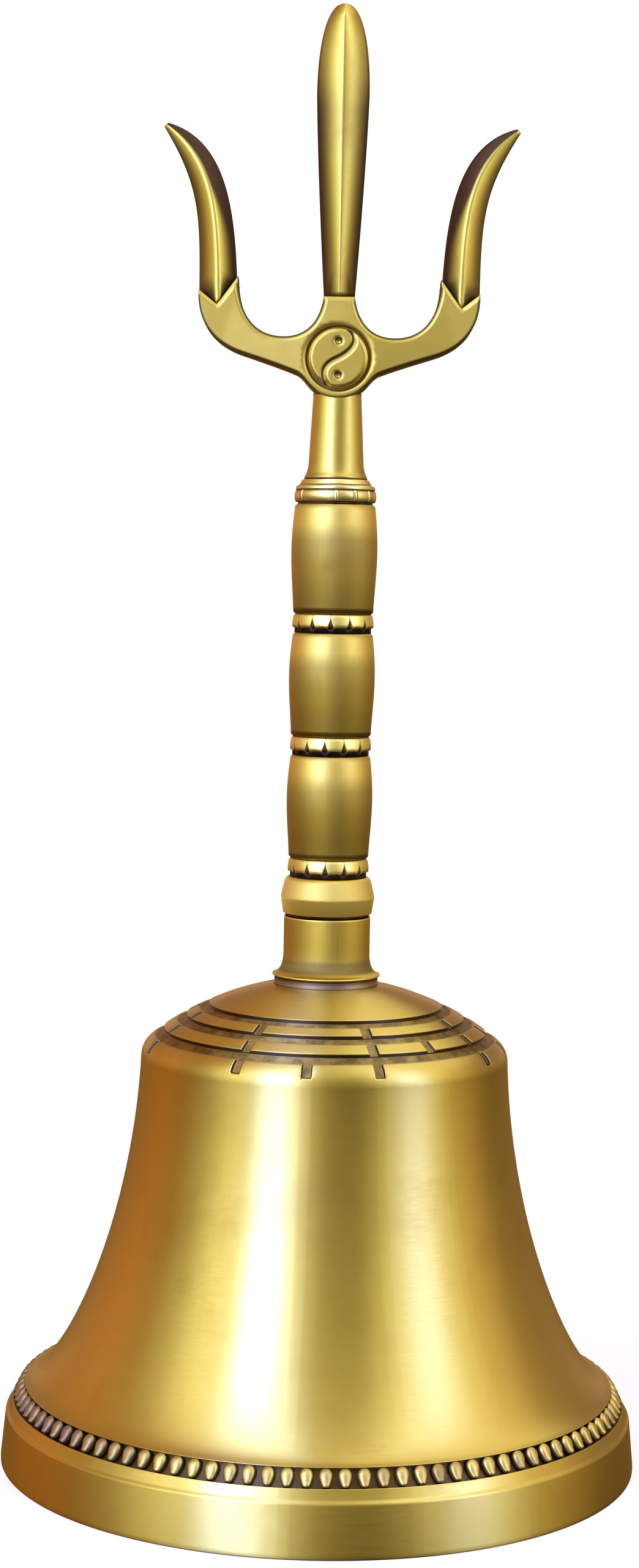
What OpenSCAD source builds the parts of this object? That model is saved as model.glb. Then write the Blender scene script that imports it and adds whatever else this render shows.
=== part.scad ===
// Brass ritual hand bell with a three-pronged head and a bamboo-jointed grip.
// The origin is the centre of the rim that it stands on, +Z is up, and -Y is the front.

/* [Bell] */
// Radius of the lip, the widest part of the bell
lip_r = 48; // [44:0.5:54]
// Thickness of the lip where it stands
lip_wall = 3.6; // [2.8:0.1:4.4]
// Height of the plain band round the lip
band_h = 7.6; // [5:0.1:8.2]
// How much narrower the band is at its top
band_draft = 0.7; // [0.2:0.1:1.2]
// Radius where the flare leaves the bead channel
flare_r = 44.6; // [42:0.1:45]
// Height where the flare leaves the bead channel
flare_z = 11.9; // [11:0.1:13]
// How far the flare runs level before it turns upwards
flare_pull = 4.7; // [2:0.1:7]
// Radius that the waist leans towards on its way up
waist_r = 28.9; // [26.5:0.1:31]
// Height at which the waist is pulled in most
waist_z = 33.6; // [26:0.1:42]
// Radius of the shoulder, at the top of the waist
shoulder_r = 27.7; // [26.5:0.1:29]
// Height of the shoulder
shoulder_z = 61; // [58:0.1:62]
// Thickness of the wall
wall = 2.6; // [2:0.1:3.2]
// Radius of the ball that the crown is a cap of
dome_r = 42.5; // [38:0.5:50]
// Height of the flat seat on the crown, under the handle
seat_z = 72.4; // [71:0.1:74]
// Radius of that seat
seat_r = 8.2; // [7.6:0.1:9]
// Thickness of the crown at the seat
crown_t = 3.6; // [3:0.1:5]

/* [Crown pattern] */
// Depth of the rings cut round the crown
ring_cut = 0.55; // [0.3:0.05:0.8]
// Depth of the breaks cut across the bars
break_cut = 0.45; // [0.2:0.05:0.7]
// Width of those breaks
break_w = 1.4; // [0.6:0.1:1.6]
// How far the shoulder's turn reaches in onto the crown, up to the last cut ring
turn_w = 1.85; // [1.2:0.05:2.6]
// Width of a cut ring
groove_w = 1.5; // [0.8:0.05:1.6]
// Width of a row of bars
bar_w = 1.85; // [1.4:0.05:2.1]
// How far the last row's breaks run down the shoulder
tail_drop = 1.9; // [1:0.1:3]
// Turn of the pattern, from the front to the first boundary on its left
pattern_turn = 27.8; // [0:0.1:45]

/* [Bead band] */
// Number of beads round the bell
bead_count = 106; // [60:1:115]
// Radius of a bead
bead_r = 0.8; // [0.6:0.05:1]
// Length of the point below a bead's round top
bead_tail = 1.85; // [1.2:0.05:1.9]
// Depth of the channel that the beads stand in
channel_d = 0.9; // [0.5:0.05:1.1]
// How far the channel reaches below the flare
channel_h = 2.4; // [2.3:0.1:3]

/* [Handle] */
// Thickness of the washer between the crown and the handle
spacer_h = 1.1; // [0.6:0.1:2]
// Radius of that washer
spacer_r = 7.8; // [7:0.1:8]
// Height of the socket that stands on it
socket_h = 9.2; // [7:0.1:12]
// Radius of the socket
socket_r = 6.5; // [6:0.1:7.2]
// Radius of the socket's flared foot
foot_r = 8.1; // [7.6:0.1:9]
// Height of the flare above the foot
foot_h = 4; // [2.5:0.1:6]
// Height of the collar above the socket
collar_h = 6; // [4:0.1:8]
// Radius of the collar at its edge
collar_r = 7.05; // [6.6:0.05:8]
// Radius of the collar at its top
collar_top_r = 6.45; // [6:0.05:6.9]
// Height of a ring between two barrels
ring_h = 1.9; // [1.4:0.1:2.6]
// Radius of a ring
ring_r = 6.1; // [5.9:0.05:7]
// Number of notches round a ring
notch_count = 13; // [8:1:18]
// Depth of a notch
notch_d = 0.3; // [0.15:0.05:0.34]
// Width of a notch at the ring's lower edge
notch_w = 1.1; // [0.6:0.1:1.4]
// Height of the recess under a ring
recess_h = 0.85; // [0.5:0.05:1.5]
// Radius of the recess under a ring
recess_r = 5.75; // [5:0.05:5.8]
// Height of a grip barrel
barrel_h = 15.55; // [12:0.05:20]
// Radius of a barrel at its ends
barrel_r = 6; // [5.8:0.05:6.4]
// How far a barrel swells beyond its ends
barrel_swell = 0.44; // [0:0.02:1]
// Where a barrel is widest; 1 is its middle, and more is higher up
barrel_lift = 1.25; // [0.8:0.05:1.6]
// Height of the ring on the top collar
top_ring_h = 1.65; // [0.9:0.05:2.2]
// Radius of that ring
top_ring_r = 6.05; // [5.9:0.05:6.6]
// Height of the two bevelled steps above that ring
top_step_h = 1.65; // [1:0.05:3]
// Radius at the top of the steps
top_step_r = 4.95; // [4.9:0.05:5.4]

/* [Trident] */
// Radius of the neck at its foot
neck_foot_r = 4.7; // [4.4:0.05:5.1]
// Height of the neck's widened foot
neck_foot_h = 2.4; // [1:0.1:4]
// Radius of the neck above its foot
neck_r = 4.1; // [3.9:0.05:4.4]
// Radius of the neck under the boss
neck_top_r = 3.6; // [3.4:0.05:3.7]
// Height of the boss's centre above the neck's foot
boss_rise = 17.8; // [16:0.1:24]
// Radius of the boss
boss_r = 5.85; // [5.5:0.05:6.5]
// Thickness of the boss, front to back
boss_t = 7.6; // [7.5:0.1:9]
// How far round the boss the plate swells up to it
swell_w = 9; // [1.5:0.5:10]
// Thickness of the fork's plate
plate_t = 6.2; // [4.6:0.1:7]
// Height of the fork's top, where the centre blade stands, above the boss's centre
fork_top = 9.05; // [8:0.05:11]
// Distance from the axis to the point that an outer blade stands on
blade_x = 18.1; // [17:0.1:20]
// Width of an outer blade at its root
blade_w = 5.8; // [5:0.1:6.5]
// How far an outer blade's tip leans away from its root
blade_lean = 8.2; // [5:0.1:11]
// Height of an outer blade above the point that it stands on
blade_h = 26.7; // [20:0.1:32]
// Height of the centre blade above the fork
spear_h = 43.1; // [34:0.1:52]
// Width of the centre blade at its widest
spear_w = 7.8; // [6:0.1:9]
// Width of the centre blade at its root
spear_root_w = 4.6; // [4:0.1:5.6]
// Radius of a medallion let into the boss
medal_r = 4.4; // [4:0.05:4.8]
// Width of the dark ring round a medallion
medal_gap = 0.4; // [0.2:0.05:0.6]
// Depth of the recess that holds a medallion
medal_t = 1; // [0.7:0.1:1.4]

/* [Inside] */
// Diameter of the rod that ties the handle together
rod_d = 4; // [3:0.1:4.4]
// Clearance round the rod in the pieces that it runs through
rod_gap = 0.15; // [0.05:0.05:0.3]
// Depth of the rod's thread in the neck
neck_thread = 8; // [5:0.5:12]
// Radius of the washer under the crown
washer_r = 6.5; // [5:0.1:7]
// Thickness of that washer
washer_t = 1.2; // [0.8:0.1:2]
// Width across the flats of the nut
nut_w = 7; // [6.6:0.1:8]
// Height of the nut
nut_h = 3.2; // [2.4:0.1:4.5]
// Radius of the cap that the clapper's hanger turns in
cap_r = 4; // [3.8:0.1:5]
// Height of that cap
cap_h = 6.4; // [6:0.1:10]
// Diameter of the hanger's shank
shank_d = 2.4; // [1.8:0.1:2.6]
// Running clearance round the shank
shank_gap = 0.05; // [0.02:0.01:0.1]
// Inner radius of the hanger's eye
eye_r = 1.7; // [1.6:0.05:2.4]
// Diameter of the wire of the eye and of the clapper's loop
wire_d = 1.6; // [1.2:0.1:1.6]
// Running clearance between the eye and the loop
link_gap = 0.1; // [0.05:0.05:0.3]
// Inner radius of the clapper's loop
loop_r = 1.9; // [1.8:0.05:2.6]
// Distance from the clapper's pivot to the centre of its ball
clapper_l = 42; // [36:0.5:43]
// Diameter of the clapper's rod
clapper_d = 2.6; // [2:0.1:3.2]
// Diameter of the clapper's ball
ball_d = 15; // [11:0.5:16]

/* [Hidden] */
$fn = 96;

// Colours
BRASS = [0.78, 0.64, 0.28];
PALE_BRASS = [0.86, 0.76, 0.42];
DARK_BRASS = [0.38, 0.26, 0.14];
STEEL = [0.62, 0.62, 0.64];

// Small allowances
cut = 1;          // how far a cutter runs past the surface that it cuts
nudge = 0.05;     // small step that keeps two curved faces from coinciding
fit_gap = 0.02;   // clearance between pieces that are fixed together
edge = 0.4;       // small chamfer on turned edges

// Points along the curves
waist_steps = 24;
dome_step = 1.3;
barrel_steps = 10;
blade_steps = 18;

// A point of a curve with two ends and two pulls
function curve_at(p, t) =
    pow(1 - t, 3) * p[0] + 3 * pow(1 - t, 2) * t * p[1] + 3 * (1 - t) * t * t * p[2] + pow(t, 3) * p[3];
function curve(p, n) = [for (i = [0 : n]) curve_at(p, i / n)];
function unit(v) = v / norm(v);
function reversed(list) = [for (i = [len(list) - 1 : -1 : 0]) list[i]];
// The points of a line, moved sideways towards its left
function beside(line, d) = [
    for (i = [0 : len(line) - 1])
        let (a = line[max(i - 1, 0)], b = line[min(i + 1, len(line) - 1)], u = unit(b - a))
            line[i] + d * [-u[1], u[0]]
];

// Radius of the bore for the rod, in every piece that the rod runs through
bore_r = rod_d / 2 + rod_gap;

// The crown is a cap of a ball that passes through the edge of the seat
dome_z = seat_z - sqrt(pow(dome_r, 2) - pow(seat_r, 2));
function on_dome(r, down = 0) = [r, dome_z + sqrt(pow(dome_r - down, 2) - pow(r, 2))];
// A stretch of the crown between two radii, from the outer one inwards
function dome_arc(from, to, down = 0) =
    let (n = ceil(abs(from - to) / dome_step)) [for (i = [0 : n]) on_dome(from + (to - from) * i / n, down)];

// Radii of the cut rings and the rows of bars between them
row_pitch = groove_w + bar_w;
dome_edge_r = shoulder_r - turn_w;
pattern_r = dome_edge_r - 2 * row_pitch - groove_w;
function groove_in(k) = pattern_r + k * row_pitch;
function groove_out(k) = groove_in(k) + groove_w;

// The waist, from the bead channel up to the shoulder
waist = curve(
    [[flare_r, flare_z], [flare_r - flare_pull, flare_z], [waist_r, waist_z], [shoulder_r, shoulder_z]],
    waist_steps);
// The shoulder turns from the waist onto the crown
shoulder_top = on_dome(dome_edge_r);
dome_slope = dome_edge_r / sqrt(pow(dome_r, 2) - pow(dome_edge_r, 2));
shoulder_pull = (shoulder_r - dome_edge_r) * 0.6;
shoulder = curve(
    [[shoulder_r, shoulder_z], [shoulder_r, (shoulder_z + shoulder_top[1]) / 2],
     shoulder_top + shoulder_pull * [1, -dome_slope], shoulder_top],
    6);

// The bead channel is cut into a slope between the band and the flare
channel_top = [flare_r, flare_z];
channel_slope = 0.7;  // how far the channel runs outwards for each unit down
channel_foot = [flare_r + channel_h * channel_slope, flare_z - channel_h];
channel_dir = unit(channel_foot - channel_top);
channel_in = [channel_dir[1], -channel_dir[0]];

bell_outside = concat(
    [[lip_r - edge, 0], [lip_r, edge], [lip_r - band_draft, band_h], [lip_r - band_draft - edge, band_h + edge]],
    [channel_foot, channel_foot + channel_in * channel_d, channel_top + channel_in * channel_d],
    waist,
    [for (i = [1 : len(shoulder) - 1]) shoulder[i]]);
crown_outside = concat(
    [for (k = [2 : -1 : 0]) each concat(
        dome_arc(groove_out(k), groove_in(k), ring_cut),
        dome_arc(groove_in(k), k > 0 ? groove_out(k - 1) : seat_r))],
    [[bore_r, seat_z]]);
// The inside follows the waist and the crown at the wall's thickness
seat_inside = seat_z - crown_t;
inner_dome_r = dome_r - wall;
inner_seat_r = sqrt(pow(inner_dome_r, 2) - pow(seat_inside - dome_z, 2));
inner_edge_r = shoulder_r - 2 * wall;
bell_inside = concat(
    [[bore_r, seat_inside]],
    reversed(dome_arc(inner_edge_r, inner_seat_r, wall)),
    reversed([for (p = beside(waist, wall)) if (p[1] > flare_z) p]),
    [[lip_r - lip_wall - edge, band_h - edge], [lip_r - lip_wall, edge], [lip_r - lip_wall + edge, 0]]);

// Which bars of each of the eight signs are whole, from the innermost row outwards
SIGNS = [
    [1, 1, 0], [1, 0, 1], [1, 0, 0], [0, 0, 0],
    [0, 0, 1], [0, 1, 0], [0, 1, 1], [1, 1, 1]
];
sign_angle = 360 / len(SIGNS);
tail_z = shoulder_top[1] - tail_drop;

// A ring-shaped cutter that follows the crown at the depth of the breaks
module break_ring(row) {
    outside = dome_edge_r + 2 * cut + bar_w;
    if (row < 2)
        rotate_extrude()
            polygon(concat(
                dome_arc(groove_in(row + 1), groove_out(row), break_cut),
                [on_dome(groove_out(row), -cut), on_dome(groove_in(row + 1), -cut)]));
    else
        rotate_extrude()
            polygon(concat(
                [[outside, tail_z]],
                [for (p = beside(shoulder, break_cut)) if (p[1] > tail_z) p],
                [[groove_in(2) + groove_w / 2, shoulder_top[1] - break_cut],
                 [groove_in(2) + groove_w / 2, shoulder_top[1] + cut], [outside, shoulder_top[1] + cut]]));
}

// A bar across the rings, standing out from the axis in the direction given
module spoke(angle) {
    rotate(angle - 90)
        translate([pattern_r, -break_w / 2, shoulder_z])
            cube([shoulder_r, break_w, seat_z - shoulder_z + cut]);
}

module pattern_breaks() {
    for (row = [0 : 2])
        intersection() {
            break_ring(row);
            union() {
                for (i = [0 : len(SIGNS) - 1]) {
                    spoke(i * sign_angle - pattern_turn);
                    if (SIGNS[i][row] == 0)
                        spoke((i + 0.5) * sign_angle - pattern_turn);
                }
            }
        }
}

// One bead: a round top with a point that hangs down the slope
bead_lift = 0.55;   // how far the round top sits above the middle of the channel
bead_sink = 0.5;    // how far its centre lies below the slope
bead_neck_r = bead_r * 0.96;
bead_tip_r = 0.45;
channel_mid = (channel_top + channel_foot) / 2;
channel_lean = atan2(channel_dir[0], -channel_dir[1]);
module bead() {
    centre = channel_mid - channel_dir * bead_lift + channel_in * bead_sink;
    translate([centre[0], 0, centre[1]])
        rotate([0, 180 - channel_lean, 0]) {
            sphere(bead_r, $fn = 24);
            cylinder(h = bead_tail, r1 = bead_neck_r, r2 = bead_tip_r, $fn = 24);
        }
}

module bell_body() color(BRASS) {
    difference() {
        rotate_extrude()
            polygon(concat(bell_outside, crown_outside, bell_inside));
        pattern_breaks();
    }
    for (i = [0 : bead_count - 1])
        rotate(i * 360 / bead_count)
            bead();
}

// Heights of the pieces stacked on the crown
spacer_z = seat_z;
socket_z = spacer_z + spacer_h;
collar_z = socket_z + socket_h;
grip_z = collar_z + collar_h;
step_h = ring_h + barrel_h + recess_h;
top_collar_z = grip_z + 3 * step_h + recess_h;
top_gap_h = 0.3;
neck_z = top_collar_z + top_gap_h + top_ring_h + top_step_h;
boss_z = neck_z + boss_rise;

module turned(outline) {
    rotate_extrude()
        polygon(outline);
}

module crown_spacer() color(DARK_BRASS) {
    turned([[bore_r, spacer_z], [spacer_r, spacer_z], [spacer_r, socket_z], [bore_r, socket_z]]);
}

module handle_socket() color(PALE_BRASS) {
    flare = curve(
        [[foot_r, socket_z + edge], [socket_r + edge, socket_z + foot_h / 3],
         [socket_r, socket_z + foot_h / 2], [socket_r, socket_z + foot_h]],
        8);
    turned(concat(
        [[bore_r, socket_z], [foot_r - edge / 2, socket_z]],
        flare,
        [[socket_r, collar_z - edge / 2], [socket_r - edge / 2, collar_z], [bore_r, collar_z]]));
}

module socket_collar() color(PALE_BRASS) {
    seam_h = 0.7;
    seam_r = socket_r - edge / 2;
    edge_z = collar_z + collar_h / 2;
    turned([
        [bore_r, collar_z], [seam_r, collar_z], [seam_r, collar_z + seam_h],
        [collar_r - edge * 0.6, collar_z + seam_h], [collar_r, edge_z - edge / 4], [collar_r, edge_z + edge / 4],
        [collar_top_r, grip_z - edge], [collar_top_r - edge, grip_z], [bore_r, grip_z]
    ]);
}

// Notches that widen downwards, cut round a ring; turn is the first one's angle from the front
notch_reach = 0.9;  // how much of the ring's height a notch takes up
module notches(turn, r, z, h, w, d) {
    for (i = [0 : notch_count - 1])
        rotate(i * 360 / notch_count + turn - 90)
            translate([r - d, 0, z])
                rotate([90, 0, 90])
                    linear_extrude(d + cut)
                        polygon([[-w / 2, -nudge], [w / 2, -nudge], [0, h * notch_reach]]);
}

// A notched ring on the neck of its recess
module notched_ring(k) {
    z = grip_z + k * step_h;
    foot_z = z + recess_h;
    top_z = foot_z + ring_h;
    difference() {
        turned([
            [bore_r, z], [recess_r, z], [recess_r, foot_z],
            [ring_r - edge / 2, foot_z], [ring_r, foot_z + edge],
            [ring_r, top_z - edge], [ring_r - edge, top_z], [bore_r, top_z]
        ]);
        notches(ring_turns[k], ring_r, foot_z, ring_h, notch_w, notch_d);
    }
}

module barrel(k, extra_h = 0) {
    z = grip_z + k * step_h + recess_h + ring_h;
    h = barrel_h + extra_h;
    swell = [
        for (i = [0 : barrel_steps])
            let (t = i / barrel_steps)
                [barrel_r + barrel_swell * sin(180 * pow(t, barrel_lift)), z + edge + (h - 2 * edge) * t]
    ];
    turned(concat(
        [[bore_r, z], [barrel_r - edge, z]],
        swell,
        [[barrel_r - edge, z + h], [bore_r, z + h]]));
}

// Angle from the front of the first notch in each ring, from the lowest ring up to the top collar
ring_turns = [-4, -8, -3, 1];
module lower_ring() color(PALE_BRASS) notched_ring(0);
module lower_barrel() color(BRASS) barrel(0);
module middle_ring() color(PALE_BRASS) notched_ring(1);
module middle_barrel() color(BRASS) barrel(1);
module upper_ring() color(PALE_BRASS) notched_ring(2);
module upper_barrel() color(BRASS) barrel(2, recess_h);

// A thin ring with fine notches, under two bevelled steps
module top_collar() color(PALE_BRASS) {
    ring_z = top_collar_z + top_gap_h;
    step_z = ring_z + top_ring_h;
    ledge_z = step_z + top_step_h / 2;
    ledge_r = (top_ring_r + top_step_r) / 2;
    fine_w = 0.5;
    fine_d = 0.2;
    difference() {
        turned([
            [bore_r, top_collar_z], [recess_r, top_collar_z], [recess_r, ring_z],
            [top_ring_r - edge / 4, ring_z], [top_ring_r, ring_z + edge / 2],
            [top_ring_r, step_z - edge / 2], [top_ring_r - edge / 2, step_z],
            [ledge_r, ledge_z], [ledge_r - edge / 2, ledge_z], [top_step_r, neck_z], [bore_r, neck_z]
        ]);
        notches(ring_turns[3], top_ring_r, ring_z, top_ring_h, fine_w, fine_d);
    }
}

// Outline of the right half of the fork's plate, measured from the boss's centre
spear_seat = [spear_root_w / 2, fork_top];
crotch = [8.2, 3.05];
inner_lip = [blade_x - blade_w * 0.53, 11.8];
seat_foot = [blade_x, 7.65];
outer_lip = [blade_x + blade_w * 0.47, 9.8];
elbow = [blade_x - 4.1, 0.45];
armpit = (boss_r - 0.25) * [cos(29), -sin(29)];
// A bend from p to q, with how far it runs on out of p and how far back it reaches from q
function bend(p, out, q, back) = curve([p, p + out, q + back, q], 8);
half_fork = concat(
    bend(spear_seat, [0.4, -3.3], crotch, [-3.8, 0]),
    bend(crotch, [4.8, 0], inner_lip, [-0.1, -4.9]),
    [seat_foot],
    bend(outer_lip, [0.2, -5], elbow, [4.5, 1.35]),
    bend(elbow, [-3.5, -1.1], armpit, [2.6, 1.1]));

module fork_plate(t) {
    translate([0, 0, boss_z])
        rotate([90, 0, 0])
            linear_extrude(t, center = true)
                polygon(concat(half_fork, [for (p = reversed(half_fork)) [-p[0], p[1]]]));
}

// The boss has a bevelled rim, and the plate swells up to it
module boss() {
    rim_w = 0.45;
    rim_d = 0.3;
    rim = [boss_r + nudge, boss_t / 2 - rim_d];
    swell_dir = [swell_w, plate_t / 2 - rim[1]];
    foot = rim + 2 * swell_dir;
    half = [[boss_r - rim_w, boss_t / 2], rim, foot];
    intersection() {
        union() {
            fork_plate(boss_t + 2 * cut);
            translate([0, 0, boss_z])
                rotate([90, 0, 0])
                    cylinder(h = boss_t + 2 * cut, r = boss_r, center = true);
        }
        translate([0, 0, boss_z])
            rotate([90, 0, 0])
                turned(concat([[0, boss_t / 2]], half, [for (p = reversed(half)) [p[0], -p[1]]], [[0, -boss_t / 2]]));
    }
}

module medal_recess(side) {
    translate([0, side * boss_t / 2, boss_z])
        rotate([side * 90, 0, 0])
            translate([0, 0, -cut])
                cylinder(h = medal_t + cut, r = medal_r + medal_gap);
}

module trident_fork() color(PALE_BRASS) {
    hidden_z = boss_z - boss_r / 3;  // the neck ends inside the boss
    difference() {
        union() {
            fork_plate(plate_t);
            boss();
            turned([
                [0, neck_z], [neck_foot_r, neck_z], [neck_foot_r, neck_z + edge],
                [neck_r, neck_z + neck_foot_h], [neck_top_r, boss_z - boss_r], [neck_top_r, hidden_z],
                [0, hidden_z]
            ]);
        }
        medal_recess(1);
        medal_recess(-1);
        translate([0, 0, neck_z - cut])
            cylinder(h = neck_thread + cut, d = rod_d + 2 * fit_gap);
    }
}

// A blade with a ridge along each face: from left edge, right edge, ridge and thickness at each station
module ridged_blade(stations) {
    full = 0.6;  // how full the flanks are; half is a plain wedge
    ring = function (s)
        let (a = s[0], b = s[1], c = s[2], h = s[3], p = (a + c) / 2, q = (b + c) / 2)
            [[a[0], 0, a[1]], [p[0], -h * full, p[1]], [c[0], -h, c[1]], [q[0], -h * full, q[1]],
             [b[0], 0, b[1]], [q[0], h * full, q[1]], [c[0], h, c[1]], [p[0], h * full, p[1]]];
    n = len(stations);
    points = [for (s = stations) each ring(s)];
    polyhedron(
        points = points,
        faces = concat(
            [[for (k = [0 : 7]) k]],
            [for (i = [0 : n - 2]) for (k = [0 : 7])
                each [
                    [i * 8 + k, (i + 1) * 8 + k, i * 8 + (k + 1) % 8],
                    [(i + 1) * 8 + k, (i + 1) * 8 + (k + 1) % 8, i * 8 + (k + 1) % 8]
                ]],
            [[for (k = [7 : -1 : 0]) (n - 1) * 8 + k]]));
}

blade_t = plate_t - 0.1;
tip_t = 0.5;

// Half of the centre blade's outline, from its root to the widest place and on to the tip
spear_z = boss_z + fork_top;
spear_root = spear_root_w / 2;
spear_half = spear_w / 2;
spear_wide_z = spear_h * 0.69;
spear_edge = concat(
    curve([[spear_root, 0], [spear_root + 0.6, spear_h * 0.2],
           [spear_half - 0.25, spear_h * 0.48], [spear_half, spear_wide_z]], blade_steps),
    [for (i = [1 : blade_steps]) curve_at(
        [[spear_half, spear_wide_z], [spear_half, spear_h * 0.9],
         [spear_half * 0.56, spear_h], [tip_t / 2, spear_h]], i / blade_steps)]);
spear_thinning = 0.25;  // how much of its thickness the centre blade has lost at its tip

module centre_blade() color(PALE_BRASS) {
    translate([0, 0, spear_z])
        ridged_blade([
            for (p = spear_edge)
                [[-p[0], p[1]], [p[0], p[1]], [0, p[1]],
                 blade_t / 2 * (1 - spear_thinning * p[1] / spear_h) * min(1, p[0] / spear_root)]
        ]);
}

// Outer and inner edges of the right-hand blade, from its root to its tip
root_z = seat_foot[1] - 0.5;
tip = seat_foot + [blade_lean, blade_h];
blade_out = [
    [outer_lip[0], root_z], [outer_lip[0] + 0.1, root_z + blade_h * 0.49],
    [outer_lip[0] - 0.25, root_z + blade_h * 0.65], tip + [0.1, -0.6]];
blade_in = [
    [inner_lip[0], root_z], [inner_lip[0] + 0.5, root_z + blade_h * 0.44],
    [inner_lip[0] + 0.9, root_z + blade_h * 0.92], tip + [-0.5, 0]];

module side_blade() {
    translate([0, 0, boss_z])
        ridged_blade([
            for (i = [0 : blade_steps])
                let (t = i / blade_steps, a = curve_at(blade_in, t), b = curve_at(blade_out, t))
                    [a, b, (a + b) / 2, (blade_t * (1 - pow(t, 2)) + tip_t * pow(t, 2)) / 2]
        ]);
}

// What lies below the V-shaped seat of the right-hand blade
module below_seat() {
    reach = 1.5;
    out = seat_foot + reach * (outer_lip - seat_foot);
    in = seat_foot + reach * (inner_lip - seat_foot);
    translate([0, 0, boss_z])
        rotate([90, 0, 0])
            linear_extrude(boss_t, center = true)
                polygon([seat_foot, out, [out[0], root_z - cut], [in[0], root_z - cut], in]);
}

module right_blade() color(BRASS) {
    difference() {
        side_blade();
        below_seat();
    }
}

module left_blade() color(BRASS) {
    mirror([1, 0, 0])
        right_blade();
}

// A disc with two spiralling halves divided by an S-shaped groove, and a dimple in each
module medallion() {
    s_w = 0.5;
    s_d = 0.35;
    dimple_r = 0.55;
    dimple_y = medal_r * 0.57;
    arm = curve(medal_r * [[0, 0], [0.36, 0.24], [0.72, 0.55], [0.33, 0.97]], 10);
    line = concat(reversed([for (i = [1 : len(arm) - 1]) -arm[i]]), arm);
    difference() {
        cylinder(h = medal_t, r = medal_r);
        translate([0, 0, medal_t - s_d])
            linear_extrude(s_d + cut)
                polygon(concat(beside(line, s_w / 2), reversed(beside(line, -s_w / 2))));
        for (side = [-1, 1])
            translate([0, side * dimple_y, medal_t - s_d])
                cylinder(h = s_d + cut, r = dimple_r);
    }
}

module front_medallion() color(PALE_BRASS) {
    translate([0, medal_t - boss_t / 2, boss_z])
        rotate([90, 0, 0])
            medallion();
}

module back_medallion() color(PALE_BRASS) {
    rotate(180)
        front_medallion();
}

// Heights of the pieces under the crown, from the seat inside it downwards
washer_z = seat_inside - washer_t;
nut_z = washer_z - nut_h;
cap_z = nut_z - cap_h;
head_h = 1.2;
cap_floor = 1.6;
rod_foot_z = cap_z + cap_floor + head_h + 0.8;
head_gap = 0.1;
shank_drop = 0.8;

module tie_rod() color(STEEL) {
    translate([0, 0, rod_foot_z])
        cylinder(h = neck_z + neck_thread - fit_gap - rod_foot_z, d = rod_d);
}

module crown_washer() color(STEEL) {
    turned([[bore_r, washer_z], [washer_r, washer_z], [washer_r, seat_inside], [bore_r, seat_inside]]);
}

module crown_nut() color(STEEL) {
    difference() {
        translate([0, 0, nut_z])
            cylinder(h = nut_h, d = nut_w / cos(30), $fn = 6);
        translate([0, 0, nut_z - cut])
            cylinder(h = nut_h + 2 * cut, d = rod_d + 2 * fit_gap);
    }
}

// The head of the hanger turns in this cap's chamber, and its shank in the hole in the floor
module hanger_cap() color(BRASS) {
    shank_hole_r = shank_d / 2 + shank_gap;
    chamber_r = rod_d / 2 + fit_gap;
    turned([
        [shank_hole_r, cap_z], [cap_r - edge, cap_z], [cap_r, cap_z + edge], [cap_r, nut_z],
        [chamber_r, nut_z], [chamber_r, cap_z + cap_floor], [shank_hole_r, cap_z + cap_floor]
    ]);
}

wire_r = wire_d / 2;
eye_mid_r = eye_r + wire_r;
eye_z = cap_z - shank_drop - eye_r - wire_d;
module clapper_hanger() color(BRASS) {
    head_z = cap_z + cap_floor + head_gap;
    translate([0, 0, head_z])
        cylinder(h = head_h, r = rod_d / 2 - 0.1);
    translate([0, 0, eye_z + eye_mid_r])
        cylinder(h = head_z - eye_z - eye_mid_r + head_h / 2, d = shank_d);
    ream = 0.03;
    difference() {
        translate([0, 0, eye_z])
            rotate([0, 90, 0])
                rotate_extrude()
                    translate([eye_mid_r, 0])
                        circle(wire_r, $fn = 32);
        translate([0, 0, eye_z])
            rotate([0, 90, 0])
                cylinder(h = wire_d, r = eye_r + ream, center = true);
    }
}

// The loop hangs in the eye, and the rod runs down from it through the ball
loop_mid_r = loop_r + wire_r;
loop_top = eye_z - eye_mid_r + wire_d + link_gap;
loop_z = loop_top - loop_mid_r;
ball_z = eye_z - clapper_l;
peen_h = 0.8;
module clapper_rod() color(BRASS) {
    foot = ball_z - ball_d / 2 - peen_h;
    translate([0, 0, loop_z])
        rotate([90, 0, 0])
            rotate_extrude()
                translate([loop_mid_r, 0])
                    circle(wire_r, $fn = 32);
    translate([0, 0, foot])
        cylinder(h = loop_z - loop_mid_r - foot, d = clapper_d);
}

module clapper_ball() color(BRASS) {
    difference() {
        translate([0, 0, ball_z])
            sphere(d = ball_d);
        translate([0, 0, ball_z - ball_d])
            cylinder(h = 2 * ball_d, d = clapper_d + 2 * fit_gap);
    }
}

bell_body();
crown_spacer();
handle_socket();
socket_collar();
lower_ring();
lower_barrel();
middle_ring();
middle_barrel();
upper_ring();
upper_barrel();
top_collar();
trident_fork();
centre_blade();
left_blade();
right_blade();
front_medallion();
back_medallion();
tie_rod();
crown_washer();
crown_nut();
hanger_cap();
clapper_hanger();
clapper_rod();
clapper_ball();
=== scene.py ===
import math
from functools import partialmethod

import bpy
import numpy as np
from mathutils import Matrix, Vector
from mathutils.geometry import delaunay_2d_cdt

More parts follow.
